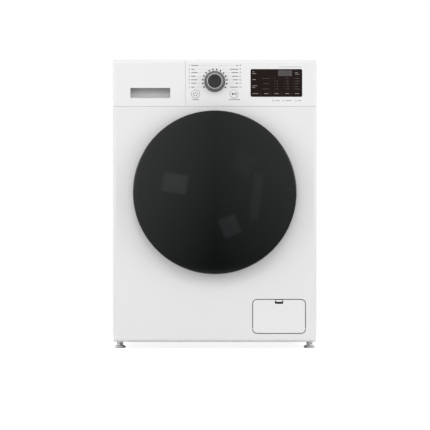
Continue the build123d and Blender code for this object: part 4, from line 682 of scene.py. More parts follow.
# The liner's grey is partly the insert's own colour and partly painted shade for the recess.
liner = eased_copy("drawer_front", LINER_BEVEL)
bmesh.ops.delete(liner, geom=[f for f in liner.faces if not in_scoop(f)], context="FACES")
bmesh.ops.reverse_faces(liner, faces=list(liner.faces))
thicken(liner, LINER_WALL)
even_shading(piece("drawer_scoop", liner, "drawer", "tray_plastic", material=scoop_grey_and_painted_shade))

# %% [markdown]
# ## The siphon cap
#
# The softener's compartment empties through a siphon, which sits under a small removable cap with a
# finger tab. It could be extruded from an outline, but both are plain mouldings, so two cubes are enough:
# a flat one for the cap and a small upright one for the tab. All their edges are bevelled, because a
# moulding never has a knife edge.

# %% Siphon cap
CAP_X, CAP_D, CAP_Z = -152.8, 231.0, 788.0
CAP_SIZE, TAB_SIZE, TAB_LIFT, CAP_ROUND = (64.0, 74.0, 5.0), (22.0, 3.0, 8.0), 5.5, 1.2


def box(bm, size, centre):
    """A box of a size in millimetres about a point of the scene."""
    verts = bmesh.ops.create_cube(bm, size=1.0)["verts"]
    bmesh.ops.scale(bm, verts=verts, vec=Vector(size) * MM)
    bmesh.ops.translate(bm, verts=verts, vec=centre)


bm = bmesh.new()
box(bm, CAP_SIZE, spot(CAP_X, CAP_D, CAP_Z))
box(bm, TAB_SIZE, spot(CAP_X, CAP_D, CAP_Z + TAB_LIFT))
rounded(bm, list(bm.edges), CAP_ROUND * MM, segments=3)
piece("siphon_cap", bm, "drawer", "lifter_plastic")

# %% [markdown]
# ## The door's cover
#
# The door's front is one shallow dome of smoked plastic. Its curve decides everything that the black
# surface mirrors, so it has to be truly smooth. A flattened sphere would come close, but its rim would be
# wrong: here the arc is spun from the crown's point, the rim is added, the corner between them is
# rounded, and the whole line is spun about the door's axis. Behind the rim a piece is left out, where the
# hinge passes.

# %% Smoked cover
DOOR_RADIUS = 239.5
CROWN, CORNER, RIM = -62.0, -36.0, -14.0
RISE = CORNER - CROWN
CROWN_RADIUS = (DOOR_RADIUS**2 + RISE**2) / (2 * RISE)
CROWN_STEPS, DOME_STEPS = 14, 192
DOME_ROUND, DOME_WALL, DOME_SHARP = 4.0, 3.5, 50.0
HINGE_INSET, HINGE_DEPTH, HINGE_HALF = 20.0, -26.0, 62.5


def at_hinge(face):
    """Whether a face of the rim lies where the hinge passes."""
    centre = face.calc_center_median()
    limit = spot(HINGE_INSET - DOOR_RADIUS, HINGE_DEPTH, AXIS_Z)
    return centre.x < limit.x and centre.y > limit.y and abs(centre.z - limit.z) < HINGE_HALF * MM


bm = bmesh.new()
apex = bm.verts.new(spot(0, CROWN, AXIS_Z))
bmesh.ops.spin(
    bm,
    geom=[apex],
    cent=spot(0, CROWN + CROWN_RADIUS, AXIS_Z),
    axis=ALONG_Z,
    angle=math.asin(DOOR_RADIUS / CROWN_RADIUS),
    steps=CROWN_STEPS,
)
corner = max(bm.verts, key=lambda v: v.co.x)
edge = bm.verts.new(spot(DOOR_RADIUS, RIM, AXIS_Z))
bm.edges.new((corner, edge))
rounded(bm, [corner], DOME_ROUND * MM, segments=6, affect="VERTICES")
spun(bm, steps=DOME_STEPS)
bmesh.ops.delete(bm, geom=[f for f in bm.faces if at_hinge(f)], context="FACES")
thicken(bm, DOME_WALL)
piece("smoked_dome", bm, "door", "smoked_cover", ["door_cover"], sharp=DOME_SHARP)

# %% [markdown]
# ## The door's glass
#
# Behind the cover a deep bowl of pressed glass reaches into the drum's mouth and holds the washing back.
# A stretched half sphere would be quick, but it has neither the flat bottom nor the flange. The bowl is
# the same all round, so its outline is spun as the cover's was, with wide roundings, because pressed
# glass has no sharp corners, and it is then given its wall.

# %% Glass bowl
BOWL = [(176, -13), (152, -13), (147, 2), (117, 82), (95, 96), (0, 96)]
BOWL_ROUND, BOWL_WALL = 9.0, 4.0
FINE_STEPS, SOFT_SHARP = 128, 60.0
bm = thicken(lathe(BOWL, rounds=BOWL_ROUND, steps=FINE_STEPS), BOWL_WALL)
piece("glass_bowl", bm, "door", "clear_glass", ["door_glass"], sharp=SOFT_SHARP)

# %% [markdown]
# ## The drum
#
# A drum is rolled from sheet with hundreds of small holes. Cutting them one by one with booleans would be
# slow and leave poor faces. So one square cell with a hole is made by poking a plain square, bevelling
# the point in its middle and taking out the disc that this leaves. The cell is repeated along the drum,
# the strip is spun round the axis as copies, and the pressed front and back are spun from their outlines
# with the same number of steps. Neighbours share whole edges, so the sheet is one surface before it gets
# its thickness.

# %% One cell of the drum's sheet
DRUM_RADIUS = 247.0
AROUND, ROWS = 96, 16
WRAP_FRONT, WRAP_BACK = 117.0, 380.0
HOLE = 0.18
chord = 2 * DRUM_RADIUS * math.sin(math.pi / AROUND)
pitch = (WRAP_BACK - WRAP_FRONT) / ROWS
drum = bmesh.new()
bmesh.ops.create_grid(drum, x_segments=1, y_segments=1, size=0.5)
middle = bmesh.ops.poke(drum, faces=list(drum.faces))["verts"]
rounded(drum, middle, HOLE, segments=2, affect="VERTICES")
disc = [f for f in drum.faces if f.calc_center_median().length < HOLE]
bmesh.ops.delete(drum, geom=disc, context="FACES")
bmesh.ops.scale(drum, verts=drum.verts, vec=(chord * MM, pitch * MM, 1))
turn_points(drum, drum.verts, 90, "Y")
first = spot(DRUM_RADIUS * math.cos(math.pi / AROUND), WRAP_FRONT + pitch / 2, AXIS_Z)
bmesh.ops.translate(drum, verts=drum.verts, vec=first)
print(f"a cell of {chord:.1f} by {pitch:.1f} mm")


# %% Perforated drum
def only(kind, geom):
    """The points, edges or faces among some geometry."""
    return [g for g in geom if isinstance(g, kind)]


cell = [*drum.verts, *drum.edges, *drum.faces]
for row in range(1, ROWS):
    copy = bmesh.ops.duplicate(drum, geom=cell)["geom"]
    bmesh.ops.translate(drum, verts=only(bmesh.types.BMVert, copy), vec=(0, row * pitch * MM, 0))
bmesh.ops.spin(
    drum,
    geom=[*drum.verts, *drum.edges, *drum.faces],
    cent=DRUM_AXIS,
    axis=ALONG_Y,
    angle=2 * math.pi * (AROUND - 1) / AROUND,
    steps=AROUND - 1,
    use_duplicate=True,
)
DRUM_FACE = [(164, 109), (164, 97), (231, 97), (DRUM_RADIUS, 113), (DRUM_RADIUS, WRAP_FRONT)]
DRUM_REAR = [(DRUM_RADIUS, WRAP_BACK), (DRUM_RADIUS, 384), (96, 384), (72, 372), (0, 372)]
FACE_ROUND, REAR_ROUND, DRUM_SHEET, DRUM_SHARP = 3.0, 2.5, 1.0, 40.0
ends = []
for outline, rounds in ((DRUM_FACE, FACE_ROUND), (DRUM_REAR, REAR_ROUND)):
    line = wire([spot(r, d, AXIS_Z) for r, d in outline], rounds=rounds)
    turn_points(line, line.verts, 180 / AROUND, "Y", DRUM_AXIS)
    ends.append(spun(line, steps=AROUND))
drum = thicken(tidy(joined(drum, *ends)), DRUM_SHEET)
piece("drum_basket", drum, "drum", "drum_steel", ["drum_shell"], sharp=DRUM_SHARP)

# %% [markdown]
# ## The rubber between the door and the tub
#
# The gasket is a soft bellows: its front edge is clamped in the cabinet's mouth, its back edge on the tub's
# neck, and the folds between let the tub move. On the real machine a rigid ring would tear from the tub at
# every bounce. It is spun from a folded line whose corners are well rounded, and it rides on no body, so
# its mesh stays where it is drawn.

# %% Gasket
FOLDS = [(149.6, 5), (153, 9), (165, 13), (165, 31), (155.5, 36), (155.5, 45), (171.4, 53), (171.4, 75)]
BEAD = [(163.5, 2.5), (171.6, 2.5), (171.6, 13.5), (163.5, 13.5)]
FOLD_ROUND, BEAD_ROUND, RUBBER_WALL = 4.0, 3.0, 2.8
bm = lathe(FOLDS, rounds=FOLD_ROUND, steps=FINE_STEPS)
bmesh.ops.reverse_faces(bm, faces=list(bm.faces))
thicken(bm, RUBBER_WALL)
bm = joined(bm, lathe(BEAD, closed=True, rounds=BEAD_ROUND, steps=FINE_STEPS))
gasket = piece("gasket_bellows", bm, None, "grey_rubber", ["door_gasket"], sharp=SOFT_SHARP)
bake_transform(gasket)

# %% [markdown]
# ## The springs
#
# The tub hangs on two coil springs. A coil could be a curve with a bevel, but a spin that climbs makes it
# in one step: a small circle is spun many times about the coil's axis, and the two tails are the end rings
# drawn out, one up through the crossbar and one down through the tub's lug. The springs stretch as the tub
# moves; here they ride on no body, so their mesh stays where it is drawn.

# %% Suspension springs
SPRING_X, SPRING_D = 236.0, 348.0
COIL_RADIUS, WIRE_RADIUS, WIRE_SIDES, TURNS, STEPS_A_TURN = 16.0, 2.0, 10, 11, 20
TAIL_END, COIL_GAP, HELD = 14.0, 18.0, 12.0
LUG_TOP, BAR_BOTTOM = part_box("suspension_springs")[0].z / MM + TAIL_END, 795.0
COIL_LOW, COIL_HIGH = LUG_TOP + COIL_GAP, BAR_BOTTOM - COIL_GAP
# Each bend of a tail moves its ring sideways and along, and leans it by some degrees.
TAIL_BENDS = [(5.0, 2.0, 40), (3.0, 6.0, 50)]


def draw_out(bm, ring, sideways, along, lean):
    """Draws a ring of edges out by a step in millimetres, leans it, and returns the new ring."""
    drawn = bmesh.ops.extrude_edge_only(bm, edges=ring)["geom"]
    points = only(bmesh.types.BMVert, drawn)
    centre = sum((v.co for v in points), Vector()) / len(points)
    turn_points(bm, points, lean, "X", centre)
    bmesh.ops.translate(bm, verts=points, vec=(0, sideways * MM, along * MM))
    return [e for e in only(bmesh.types.BMEdge, drawn) if all(v in points for v in e.verts)]


def height_of(ring):
    """The height of a ring's middle, in millimetres."""
    heights = [v.co.z for e in ring for v in e.verts]
    return sum(heights) / len(heights) / MM


def coil(x):
    """One spring, with its coil's axis at x."""
    bm = bmesh.new()
    bmesh.ops.create_circle(bm, cap_ends=False, segments=WIRE_SIDES, radius=WIRE_RADIUS * MM)
    turn_points(bm, bm.verts, 90, "X")
    bmesh.ops.translate(bm, verts=bm.verts, vec=spot(x + COIL_RADIUS, SPRING_D, COIL_LOW))
    start_ring = list(bm.edges)
    climb = (COIL_HIGH - COIL_LOW) / (TURNS * STEPS_A_TURN) * MM
    turned = bmesh.ops.spin(
        bm,
        geom=[*bm.verts, *bm.edges],
        cent=spot(x, SPRING_D, 0),
        axis=ALONG_Z,
        dvec=(0, 0, climb),
        angle=2 * math.pi * TURNS,
        steps=TURNS * STEPS_A_TURN,
    )
    end_ring = only(bmesh.types.BMEdge, turned["geom_last"])
    for ring, way, stop in ((start_ring, -1, LUG_TOP - TAIL_END), (end_ring, 1, BAR_BOTTOM + TAIL_END)):
        for sideways, along, lean in TAIL_BENDS:
            ring = draw_out(bm, ring, way * sideways, way * along, lean)
        ring = draw_out(bm, ring, 0.0, stop - height_of(ring), 0)
        bmesh.ops.contextual_create(bm, geom=ring)
    return tidy(bm)


bm = joined(coil(-SPRING_X), coil(SPRING_X))
springs = piece("coil_springs", bm, None, "zinc_steel", ["suspension_springs"], sharp=SOFT_SHARP)
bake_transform(springs)

# %% [markdown]
# ## The hoses
#
# Rubber hoses join the tub, the pump, the valve and the dispenser. A hose could be swept in bmesh ring by
# ring, but a curve with a round bevel follows a smooth line by itself, so the hoses are curves made into
# meshes. The one under the dispenser is short and has to give as the tub bounces: it is a small bellows,
# spun from a line with folds. The two that reach the tub ride on no body, so their meshes stay where they
# are drawn.


# %% Hoses
def as_bmesh(name, curve):
    """A curve or text as a bmesh; the curve itself is removed."""
    line = bpy.data.objects.new(name, curve)
    mesh = bpy.data.meshes.new_from_object(line)
    bm = bmesh.new()
    bm.from_mesh(mesh)
    bpy.data.objects.remove(line)
    bpy.data.curves.remove(curve)
    bpy.data.meshes.remove(mesh)
    return tidy(bm)


def tube(points, radius, sides):
    """A tube along a smooth line through the neighbourhood of some points."""
    curve = bpy.data.curves.new("hose_line", "CURVE")
    curve.dimensions = "3D"
    curve.bevel_depth = radius * MM
    curve.bevel_resolution = sides // 2
    curve.resolution_u = 8
    curve.use_fill_caps = True
    spline = curve.splines.new("NURBS")
    spline.points.add(len(points) - 1)
    for point, place in zip(spline.points, points):
        point.co = (*spot(*place), 1)
    spline.order_u = 3
    spline.use_endpoint_u = True
    return as_bmesh("hose_line", curve)


PUMP_Z, SUMP_X, SUMP_D = 95.7, 60.0, 120.0
DRAIN_X, OUTFLOW_D = 262.0, 153.5
INLET_X, INLET_Z, INLET_SAG = -170.0, 765.0, 1.0
SUMP_RADIUS, DRAIN_RADIUS, INLET_RADIUS = 20.2, 13.1, 8.2
SUMP_LINE = [(SUMP_X, SUMP_D, z) for z in (163, 130, PUMP_Z)] + [(x, SUMP_D, PUMP_Z) for x in (105, 147)]
DRAIN_LINE = [(x, OUTFLOW_D, PUMP_Z) for x in (227, 245, DRAIN_X)]
DRAIN_LINE += [(DRAIN_X, d, PUMP_Z) for d in (190, 380, 556)]
INLET_DROPS = [(320, 0.0), (390, INLET_SAG), (450, INLET_SAG), (512, 0.0)]
INLET_LINE = [(INLET_X, d, INLET_Z - drop) for d, drop in INLET_DROPS]
bm = tube(SUMP_LINE, SUMP_RADIUS, sides=20)
sump = piece("sump_pipe", bm, None, "grey_rubber", ["sump_hose"], sharp=SOFT_SHARP)
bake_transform(sump)
bm = tube(DRAIN_LINE, DRAIN_RADIUS, sides=14)
piece("drain_pipe", bm, "cabinet", "grey_rubber", ["drain_hose"], sharp=SOFT_SHARP)
bm = tube(INLET_LINE, INLET_RADIUS, sides=12)
piece("inlet_pipe", bm, "cabinet", "grey_rubber", ["inlet_hose"], sharp=SOFT_SHARP)

# %% Fill hose
FILL_X, FILL_D = -172.0, 286.0
FILL_BORE, FILL_OUTSIDE, FOLD_RADIUS = 16.1, 18.2, 20.4
FOLD_COUNT, FOLD_MARGIN, FOLD_HALF = 5, 9.0, 1.6
FILL_STEPS, FILL_HELD, FILL_SHARP = 40, 6.0, 50.0
low, high = (corner.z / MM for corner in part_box("fill_hose"))
outline = [(FILL_BORE, low), (FILL_OUTSIDE, low)]
for i in range(FOLD_COUNT):
    z = low + FOLD_MARGIN + i * (high - low - 2 * FOLD_MARGIN) / FOLD_COUNT
    outline += [(FILL_OUTSIDE, z), (FOLD_RADIUS, z + FOLD_HALF), (FILL_OUTSIDE, z + 2 * FOLD_HALF)]
outline += [(FILL_OUTSIDE, high), (FILL_BORE, high)]
bm = wire([spot(FILL_X + r, FILL_D, z) for r, z in outline], closed=True)
spun(bm, spot(FILL_X, FILL_D, 0), ALONG_Z, steps=FILL_STEPS)
fill = piece("fill_bellows", bm, None, "grey_rubber", ["fill_hose"], sharp=FILL_SHARP)
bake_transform(fill)

# %% [markdown]
# ## The belt
#
# A flat rubber belt runs from the motor's small pulley round the drum's large one. Its path is two arcs
# and the two straight runs that touch both. Those could be worked out with tangents, but the hull of two
# discs has just that outline, so two discs are hulled, their flat sides are taken away, and the band that
# is left gets its thickness.

# %% Drive belt
BELT_FRONT, BELT_BACK, BELT_THICK, BELT_SHARP = 482.0, 496.0, 4.4, 50.0
FACING = 0.9
# Each pulley has its radius with the belt on it, its x and z, and its number of sides.
PULLEYS = [(144.8, 0.0, AXIS_Z, 96), (15.8, -95.0, 124.0, 40)]


def disc_of(bm, radius, depth, sides):
    """A flat disc about Z at the origin, from sizes in millimetres, and its points."""
    wide = radius * MM
    made = bmesh.ops.create_cone(
        bm, cap_ends=True, segments=sides, radius1=wide, radius2=wide, depth=depth * MM
    )
    return made["verts"]


bm = bmesh.new()
for radius, x, z, sides in PULLEYS:
    points = disc_of(bm, radius, BELT_BACK - BELT_FRONT, sides)
    turn_points(bm, points, 90, "X")
    bmesh.ops.translate(bm, verts=points, vec=spot(x, (BELT_FRONT + BELT_BACK) / 2, z))
bmesh.ops.delete(bm, geom=list(bm.edges), context="EDGES_FACES")
hull = bmesh.ops.convex_hull(bm, input=list(bm.verts), use_existing_faces=False)
inner = only(bmesh.types.BMVert, {*hull["geom_interior"], *hull["geom_unused"]})
bmesh.ops.delete(bm, geom=inner, context="VERTS")
flats = [f for f in bm.faces if abs(f.normal.y) > FACING]
bmesh.ops.delete(bm, geom=flats, context="FACES_ONLY")
bmesh.ops.delete(bm, geom=[e for e in bm.edges if not e.link_faces], context="EDGES")
thicken(tidy(bm), BELT_THICK)
piece("ribbed_belt", bm, "tub", "black_rubber", ["drive_belt"], sharp=BELT_SHARP)

# %% [markdown]
# ## The programme dial
#
# The dial is three things: a satin skirt that fingers grip, a bright ring set in its front edge, and a
# dark dished face. One mesh with three materials would do, but its borders would have to fall on edges,
# so each is spun from its own outline and all three ride on the dial's body. The face is turned on a
# lathe, and its fine round grooves catch light from the left and the right: they are a ring pattern that
# raises the surface.

# %% Dial
KNOB_Z = 785.8
GROOVE_PITCH, GROOVE_HEIGHT = 0.8, 0.07
# A wave texture with a scale of one repeats after this length.
WAVE_LENGTH = math.pi / 10
SKIRT = [(0, 14), (3, 14), (3, -0.6), (31, -0.6), (31, -3.0), (29.4, -5.2), (24.6, -19.6), (23.9, -20.6)]
SKIRT += [(23.0, -20.6), (23.0, -16), (0, -16)]
RING = [(23.1, -15), (23.1, -21.4), (22.3, -22.4), (20.6, -22.4), (19.9, -21.4), (19.9, -15)]
FACE = [(0, -15), (20.0, -15), (20.0, -22.0), (18.6, -23.4), (15.0, -23.4), (8.0, -22.6), (0, -22.4)]
SKIRT_ROUND, RING_ROUND, FACE_EDGE = 0.5, 0.3, 0.6
bright = finish("bright_ring", (0.50, 0.50, 0.50), 0.25, mottle=(60, 0.03), grain=(900, 0.001))
face_black = finish("dial_face_black", (0.022, 0.022, 0.023), 0.30, mottle=(40, 0.06), grain=(2600, 0.006))


def add_grooves(material, centre, pitch, height):
    """Adds round grooves about an axis along Y to a finish."""
    tree = material.node_tree
    normal = tree.nodes["Principled BSDF"].inputs["Normal"]
    where = add_node(tree, "ShaderNodeTexCoord").outputs["Object"]
    middle = add_node(tree, "ShaderNodeMapping", {"Vector": where, "Location": -centre}).outputs["Vector"]
    inputs = {"Vector": middle, "Scale": WAVE_LENGTH / (pitch * MM)}
    rings = add_node(tree, "ShaderNodeTexWave", inputs, wave_type="RINGS", rings_direction="Y")
    grain = normal.links[0].from_socket
    inputs = {"Height": rings.outputs["Fac"], "Distance": height * MM, "Normal": grain}
    relief = add_node(tree, "ShaderNodeBump", inputs)
    tree.links.new(relief.outputs["Normal"], normal)


add_grooves(face_black, spot(0, 0, KNOB_Z), GROOVE_PITCH, GROOVE_HEIGHT)
piece("dial_skirt", lathe(SKIRT, 0, KNOB_Z, rounds=SKIRT_ROUND), "dial", "dial_grey", ["program_knob"])
ring = lathe(RING, 0, KNOB_Z, closed=True, rounds=RING_ROUND)
piece("dial_ring", ring, "dial", "dial_grey", material=bright)
piece("dial_face", lathe(FACE, 0, KNOB_Z, rounds=FACE_EDGE), "dial", "dial_grey", material=face_black)

# %% [markdown]
# ## Prints
#
# Print is flat ink. It could be a picture on the surface, but then it would blur from nearby. So a bar is
# a thin box, a dot a thin disc, a number is text made into a mesh, and a ring is a thin spun band. All
# the prints of one ink on one piece are gathered into one mesh that lies a hair above the surface.

# %% Print makers
INK, LIFT = 0.05, 0.01
TEXT_SCALE = 1.4
BAND_STEP, LEAST_STEPS = 7.5, 8


def bar(bm, x0, x1, z0, z1, d):
    """A thin bar of ink between two corners."""
    box(bm, (x1 - x0, INK, z1 - z0), spot((x0 + x1) / 2, d, (z0 + z1) / 2))


def bars(bm, marks, half, d):
    """Bars of ink that start at places of the photo, from columns, rows and lengths."""
    for column, row, length in marks:
        left, z = from_photo(column, row)
        bar(bm, left, left + length, z - half, z + half, d)


def figures(bm, text, x, z, height, d):
    """Flat figures, centred at a place."""
    curve = bpy.data.curves.new("ink_text", "FONT")
    curve.body = text
    curve.size = height * MM * TEXT_SCALE
    curve.align_x = "CENTER"
    curve.align_y = "CENTER"
    curve.extrude = INK * MM / 2
    curve.resolution_u = 3
    shape = as_bmesh("ink_text", curve)
    turn_points(shape, shape.verts, 90, "X")
    bmesh.ops.translate(shape, verts=shape.verts, vec=spot(x, d, z))
    joined(bm, shape)


def dot(bm, x, z, radius, d, sides=16, turn=0.0):
    """A thin disc of ink, or a triangle if it has three sides."""
    points = disc_of(bm, radius, INK, sides)
    turn_points(bm, points, turn, "Z")
    turn_points(bm, points, 90, "X")
    bmesh.ops.translate(bm, verts=points, vec=spot(x, d, z))


def band(bm, x, z, inside, outside, d, arc=360.0, start=0.0):
    """A ring of ink, or a part of one that starts at an angle from the right."""
    near, far = d - INK / 2, d + INK / 2
    corners = [(inside, near), (outside, near), (outside, far), (inside, far)]
    part = wire([spot(x + r, depth, z) for r, depth in corners], closed=True)
    turn_points(part, part.verts, -start, "Y", spot(x, 0, z))
    steps = max(LEAST_STEPS, int(arc / BAND_STEP))
    spun(part, spot(x, 0, z), steps=steps, arc=-arc if arc != 360.0 else arc)
    bmesh.ops.holes_fill(part, edges=[e for e in part.edges if e.is_boundary], sides=4)
    joined(bm, tidy(part))


def ink(name, colour):
    """A finish for print."""
    return finish(name, colour, 0.5, mottle=(300, 0.05), grain=(2000, 0.001))


grey_ink = ink("grey_ink", (0.045, 0.045, 0.048))
pale_ink = ink("pale_ink", (0.26, 0.26, 0.26))
white_ink = ink("white_ink", (0.29, 0.275, 0.275))
dim_ink = ink("dim_ink", (0.085, 0.066, 0.064))
print("four inks,", INK, "mm thick")

# %% [markdown]
# ## Marks round the dial
#
# The panel has a dot for each programme, and on both sides a list that thin lines join to the dots. Each
# row of the list is a number and a plain bar. They could be placed one by one, but their places follow
# from the angle of the dots and from the rows of the list, so a loop draws them all.

# %% Marks round the dial
FASCIA = -INK / 2 - LIFT
TICK_COUNT, TICK_RADIUS, TICK_START, TICK_END, TICK_SIZE = 14, 35.6, 208.0, -29.0, 2.5
SIDE_COUNT = TICK_COUNT // 2
LIST_ROWS = [65.5, 69.3, 72.6, 76.3, 79.8, 83.2, 87.2]
LEFT_LENGTHS = [34, 14, 30, 20, 28, 22, 16]
RIGHT_LENGTHS = [10, 40, 32, 30, 26, 13, 38]
LIST_EDGE, NUMBER_EDGE, BAR_SCALE = 69.0, 75.0, 0.62
NUMBER_HEIGHT, BAR_HALF, LEAD_HALF, LEAD_GAP, TICK_GAP = 5.0, 1.3, 0.15, 2.0, 4.0


def tick_angle(i):
    """The angle of a programme's dot, from the right."""
    return math.radians(TICK_START + (TICK_END - TICK_START) * i / (TICK_COUNT - 1))


marks, lists = bmesh.new(), bmesh.new()
for i in range(TICK_COUNT):
    x, rise = TICK_RADIUS * math.cos(tick_angle(i)), TICK_RADIUS * math.sin(tick_angle(i))
    dot(marks, x, KNOB_Z + rise, TICK_SIZE, FASCIA)
for i, row in enumerate(LIST_ROWS):
    z = from_photo(0, row)[1]
    figures(marks, str(SIDE_COUNT - i), -NUMBER_EDGE, z, NUMBER_HEIGHT, FASCIA)
    figures(marks, str(SIDE_COUNT + 1 + i), NUMBER_EDGE, z, NUMBER_HEIGHT, FASCIA)
    reach = -TICK_RADIUS * math.cos(tick_angle(SIDE_COUNT - 1 - i)) + TICK_GAP
    for side, lengths in ((-1, LEFT_LENGTHS), (1, RIGHT_LENGTHS)):
        end = LIST_EDGE - lengths[i] * BAR_SCALE
        bar(lists, *sorted((side * LIST_EDGE, side * end)), z - BAR_HALF, z + BAR_HALF, FASCIA)
        lead = sorted((side * (end - LEAD_GAP), side * reach))
        bar(lists, *lead, z - LEAD_HALF, z + LEAD_HALF, FASCIA)
piece("dial_print", marks, "cabinet", "dial_grey", material=grey_ink)
piece("dial_bars", lists, "cabinet", "dial_grey", material=pale_ink)

# %% [markdown]
# ## Signs on the buttons
#
# The two round buttons carry the common signs for power and for start and pause, and a fine rim. They
# ride on the buttons, so they travel with them. The signs could come from a font, but few fonts have
# them. The power sign is a part of a ring and a bar, and the start sign a disc with three sides and two
# bars, which the print makers already draw.

# %% Signs on the two buttons
POWER_X, START_X, BUTTON_Z = -56.8, 56.8, 749.2
BUTTON_PROUD = 0.8
BUTTON_FACE = -BUTTON_PROUD - INK / 2 - LIFT
BOW_INSIDE, BOW_OUTSIDE, BOW_ARC, BOW_START = 5.0, 6.2, 290.0, 125.0
STROKE_HALF, STROKE_LOW, STROKE_HIGH = 0.6, 0.6, 7.2
ARROW_LEFT, ARROW_RADIUS, ARROW_TURN = 3.6, 4.8, -90.0
PAUSE_PLACES, PAUSE_HALF, PAUSE_RISE = (3.0, 6.2), 0.8, 4.2
bm = bmesh.new()
band(bm, POWER_X, BUTTON_Z, BOW_INSIDE, BOW_OUTSIDE, BUTTON_FACE, arc=BOW_ARC, start=BOW_START)
stroke = (POWER_X - STROKE_HALF, POWER_X + STROKE_HALF)
bar(bm, *stroke, BUTTON_Z + STROKE_LOW, BUTTON_Z + STROKE_HIGH, BUTTON_FACE)
piece("power_sign", bm, "power_key", "dial_grey", material=grey_ink)
bm = bmesh.new()
dot(bm, START_X - ARROW_LEFT, BUTTON_Z, ARROW_RADIUS, BUTTON_FACE, sides=3, turn=ARROW_TURN)
for x in PAUSE_PLACES:
    upright = (START_X + x - PAUSE_HALF, START_X + x + PAUSE_HALF)
    bar(bm, *upright, BUTTON_Z - PAUSE_RISE, BUTTON_Z + PAUSE_RISE, BUTTON_FACE)
piece("start_sign", bm, "start_key", "dial_grey", material=grey_ink)

# %% Rims and bars of the two buttons
RIM_INSIDE, RIM_OUTSIDE = 11.3, 12.1
MARK_ROW, MARK_HALF = 99.7, 1.1
MARK_COLUMNS = [(192.5, 199.0), (228.6, 240.0)]
for name, body, x in (("power_ring", "power_key", POWER_X), ("start_ring", "start_key", START_X)):
    bm = bmesh.new()
    band(bm, x, BUTTON_Z, RIM_INSIDE, RIM_OUTSIDE, BUTTON_FACE)
    piece(name, bm, body, "dial_grey", material=pale_ink)
bm = bmesh.new()
for left, right in MARK_COLUMNS:
    bars(bm, [(left, MARK_ROW, (right - left) * PIXEL)], MARK_HALF, FASCIA)
piece("button_bars", bm, "cabinet", "dial_grey", material=pale_ink)

# %% [markdown]
# ## The display
#
# Behind the black window sits a small grey screen, with touch keys and indicators printed round it in dim
# ink. A screen could be a lit picture; this one is off, so it is a plain grey field with the ghost of its
# segments. The keys and indicators are short bars, plain numbers and dots, all taken from lists, so that
# a place is easy to find and change.

# %% Screen
WINDOW_PROUD = 0.3
WINDOW = -WINDOW_PROUD - INK / 2 - LIFT
SEGMENT_HEIGHT, SEGMENT_LIFT = 12.0, 0.04
SCREEN_START, SCREEN_END = (278.1, 70.3), (292.0, 76.0)
screen_left, screen_top = from_photo(*SCREEN_START)
screen_right, screen_bottom = from_photo(*SCREEN_END)
screen_grey = finish("screen_grey", (0.085, 0.074, 0.074), 0.35, mottle=(40, 0.04), grain=(2400, 0.001))
ghost = finish("screen_segments", (0.066, 0.057, 0.057), 0.35, mottle=(40, 0.04), grain=(2400, 0.001))
bm = bmesh.new()
bar(bm, screen_left, screen_right, screen_bottom, screen_top, WINDOW)
piece("display_screen", bm, "cabinet", "display_glass", material=screen_grey)
bm = bmesh.new()
middle_x, middle_z = (screen_left + screen_right) / 2, (screen_bottom + screen_top) / 2
figures(bm, "8:88", middle_x, middle_z, SEGMENT_HEIGHT, WINDOW - SEGMENT_LIFT)
piece("display_segments", bm, "cabinet", "display_glass", material=ghost)

# %% Touch keys
KEY_COLUMN, KEY_ROW, OPTION_COLUMN = 252.4, 93.6, 295.0
KEY_HALF, OPTION_HALF = 0.8, 0.7
LEFT_KEYS = [(71.8, 5), (73.6, 11), (79.6, 10), (85.8, 14), (87.6, 8), (KEY_ROW, 17)]
LOWER_KEYS = [(264.2, 12), (274.4, 13), (285.0, 12), (294.8, 13)]
OPTION_KEYS = [(72.6, 9), (74.2, 12)]
bm = bmesh.new()
bars(bm, [(KEY_COLUMN, row, length) for row, length in LEFT_KEYS], KEY_HALF, WINDOW)
bars(bm, [(column, KEY_ROW, length) for column, length in LOWER_KEYS], KEY_HALF, WINDOW)
bars(bm, [(OPTION_COLUMN, row, length) for row, length in OPTION_KEYS], OPTION_HALF, WINDOW)
piece("display_keys", bm, "cabinet", "display_glass", material=white_ink)

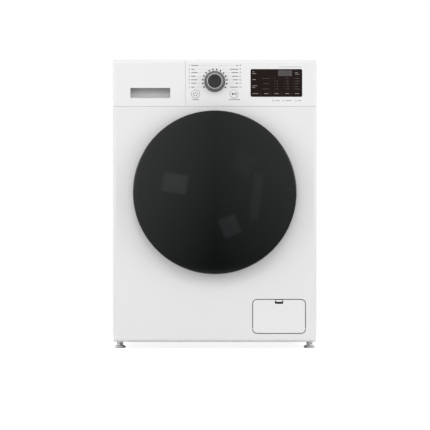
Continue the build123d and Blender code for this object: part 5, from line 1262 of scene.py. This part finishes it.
# %% Indicators
# Each row of indicators has its place, a temperature, a speed, and the length of its option's bar.
INDICATORS = [
    (78.4, "-", "400", 12),
    (81.1, "20", "800", 13),
    (83.7, "30", "1000", 10),
    (86.5, "40", "1200", 9),
    (89.0, "60", "1400", 13),
]
LAMP_COLUMNS, LAMP_HALF = (274.6, 284.4, 294.0), 0.8
DEGREES_COLUMN, SPEED_COLUMN, BAR_COLUMN, FIGURE_HEIGHT = 276.7, 286.9, 295.2, 3.4
DEGREES_SHIFT, SPEED_SHIFT = 1.0, 1.5
SIDE_BARS, SIDE_HALF = [(262.4, 78.4, 22), (263.4, 83.6, 16), (262.6, 89.0, 20)], 0.6
DIVIDERS, DIVIDER_HALF, DIVIDER_RISE = (260.8, 270.9, 281.4, 291.5), 0.25, 4.5
bm = bmesh.new()
for row, degrees, speed, length in INDICATORS:
    for column in LAMP_COLUMNS:
        x, z = from_photo(column, row)
        bar(bm, x - LAMP_HALF, x + LAMP_HALF, z - LAMP_HALF, z + LAMP_HALF, WINDOW)
    x, z = from_photo(DEGREES_COLUMN, row)
    figures(bm, degrees, x + DEGREES_SHIFT, z, FIGURE_HEIGHT, WINDOW)
    x, z = from_photo(SPEED_COLUMN, row)
    figures(bm, speed, x + SPEED_SHIFT, z, FIGURE_HEIGHT, WINDOW)
    bars(bm, [(BAR_COLUMN, row, length)], OPTION_HALF, WINDOW)
bars(bm, SIDE_BARS, SIDE_HALF, WINDOW)
for column in DIVIDERS:
    x, z = from_photo(column, KEY_ROW)
    bar(bm, x - DIVIDER_HALF, x + DIVIDER_HALF, z - DIVIDER_RISE, z + DIVIDER_RISE, WINDOW)
piece("display_indicators", bm, "cabinet", "display_glass", material=dim_ink)

# %% Marks above and below the display
RULE_LEFT, RULE_RIGHT, RULE_ROW, RULE_HALF = 278.4, 301.6, 66.9, 0.5
NOTE_ROW, NOTE_HALF, NOTE_INSIDE, NOTE_OUTSIDE = 100.6, 0.8, 1.6, 2.4
NOTES, NOTE_RINGS = [(275.0, 14), (285.0, 20), (297.5, 12)], (273.0, 283.0, 295.6)
bm = bmesh.new()
bars(bm, [(RULE_LEFT, RULE_ROW, (RULE_RIGHT - RULE_LEFT) * PIXEL)], RULE_HALF, FASCIA)
bars(bm, [(column, NOTE_ROW, length) for column, length in NOTES], NOTE_HALF, FASCIA)
for column in NOTE_RINGS:
    band(bm, *from_photo(column, NOTE_ROW), NOTE_INSIDE, NOTE_OUTSIDE, FASCIA)
piece("display_notes", bm, "cabinet", "dial_grey", material=pale_ink)

# %% [markdown]
# ## Last step
#
# The view layer is brought up to date at the end. The dressed machine has to stay
# inside the solids' own box.

# %% Finish
bpy.context.view_layer.update()
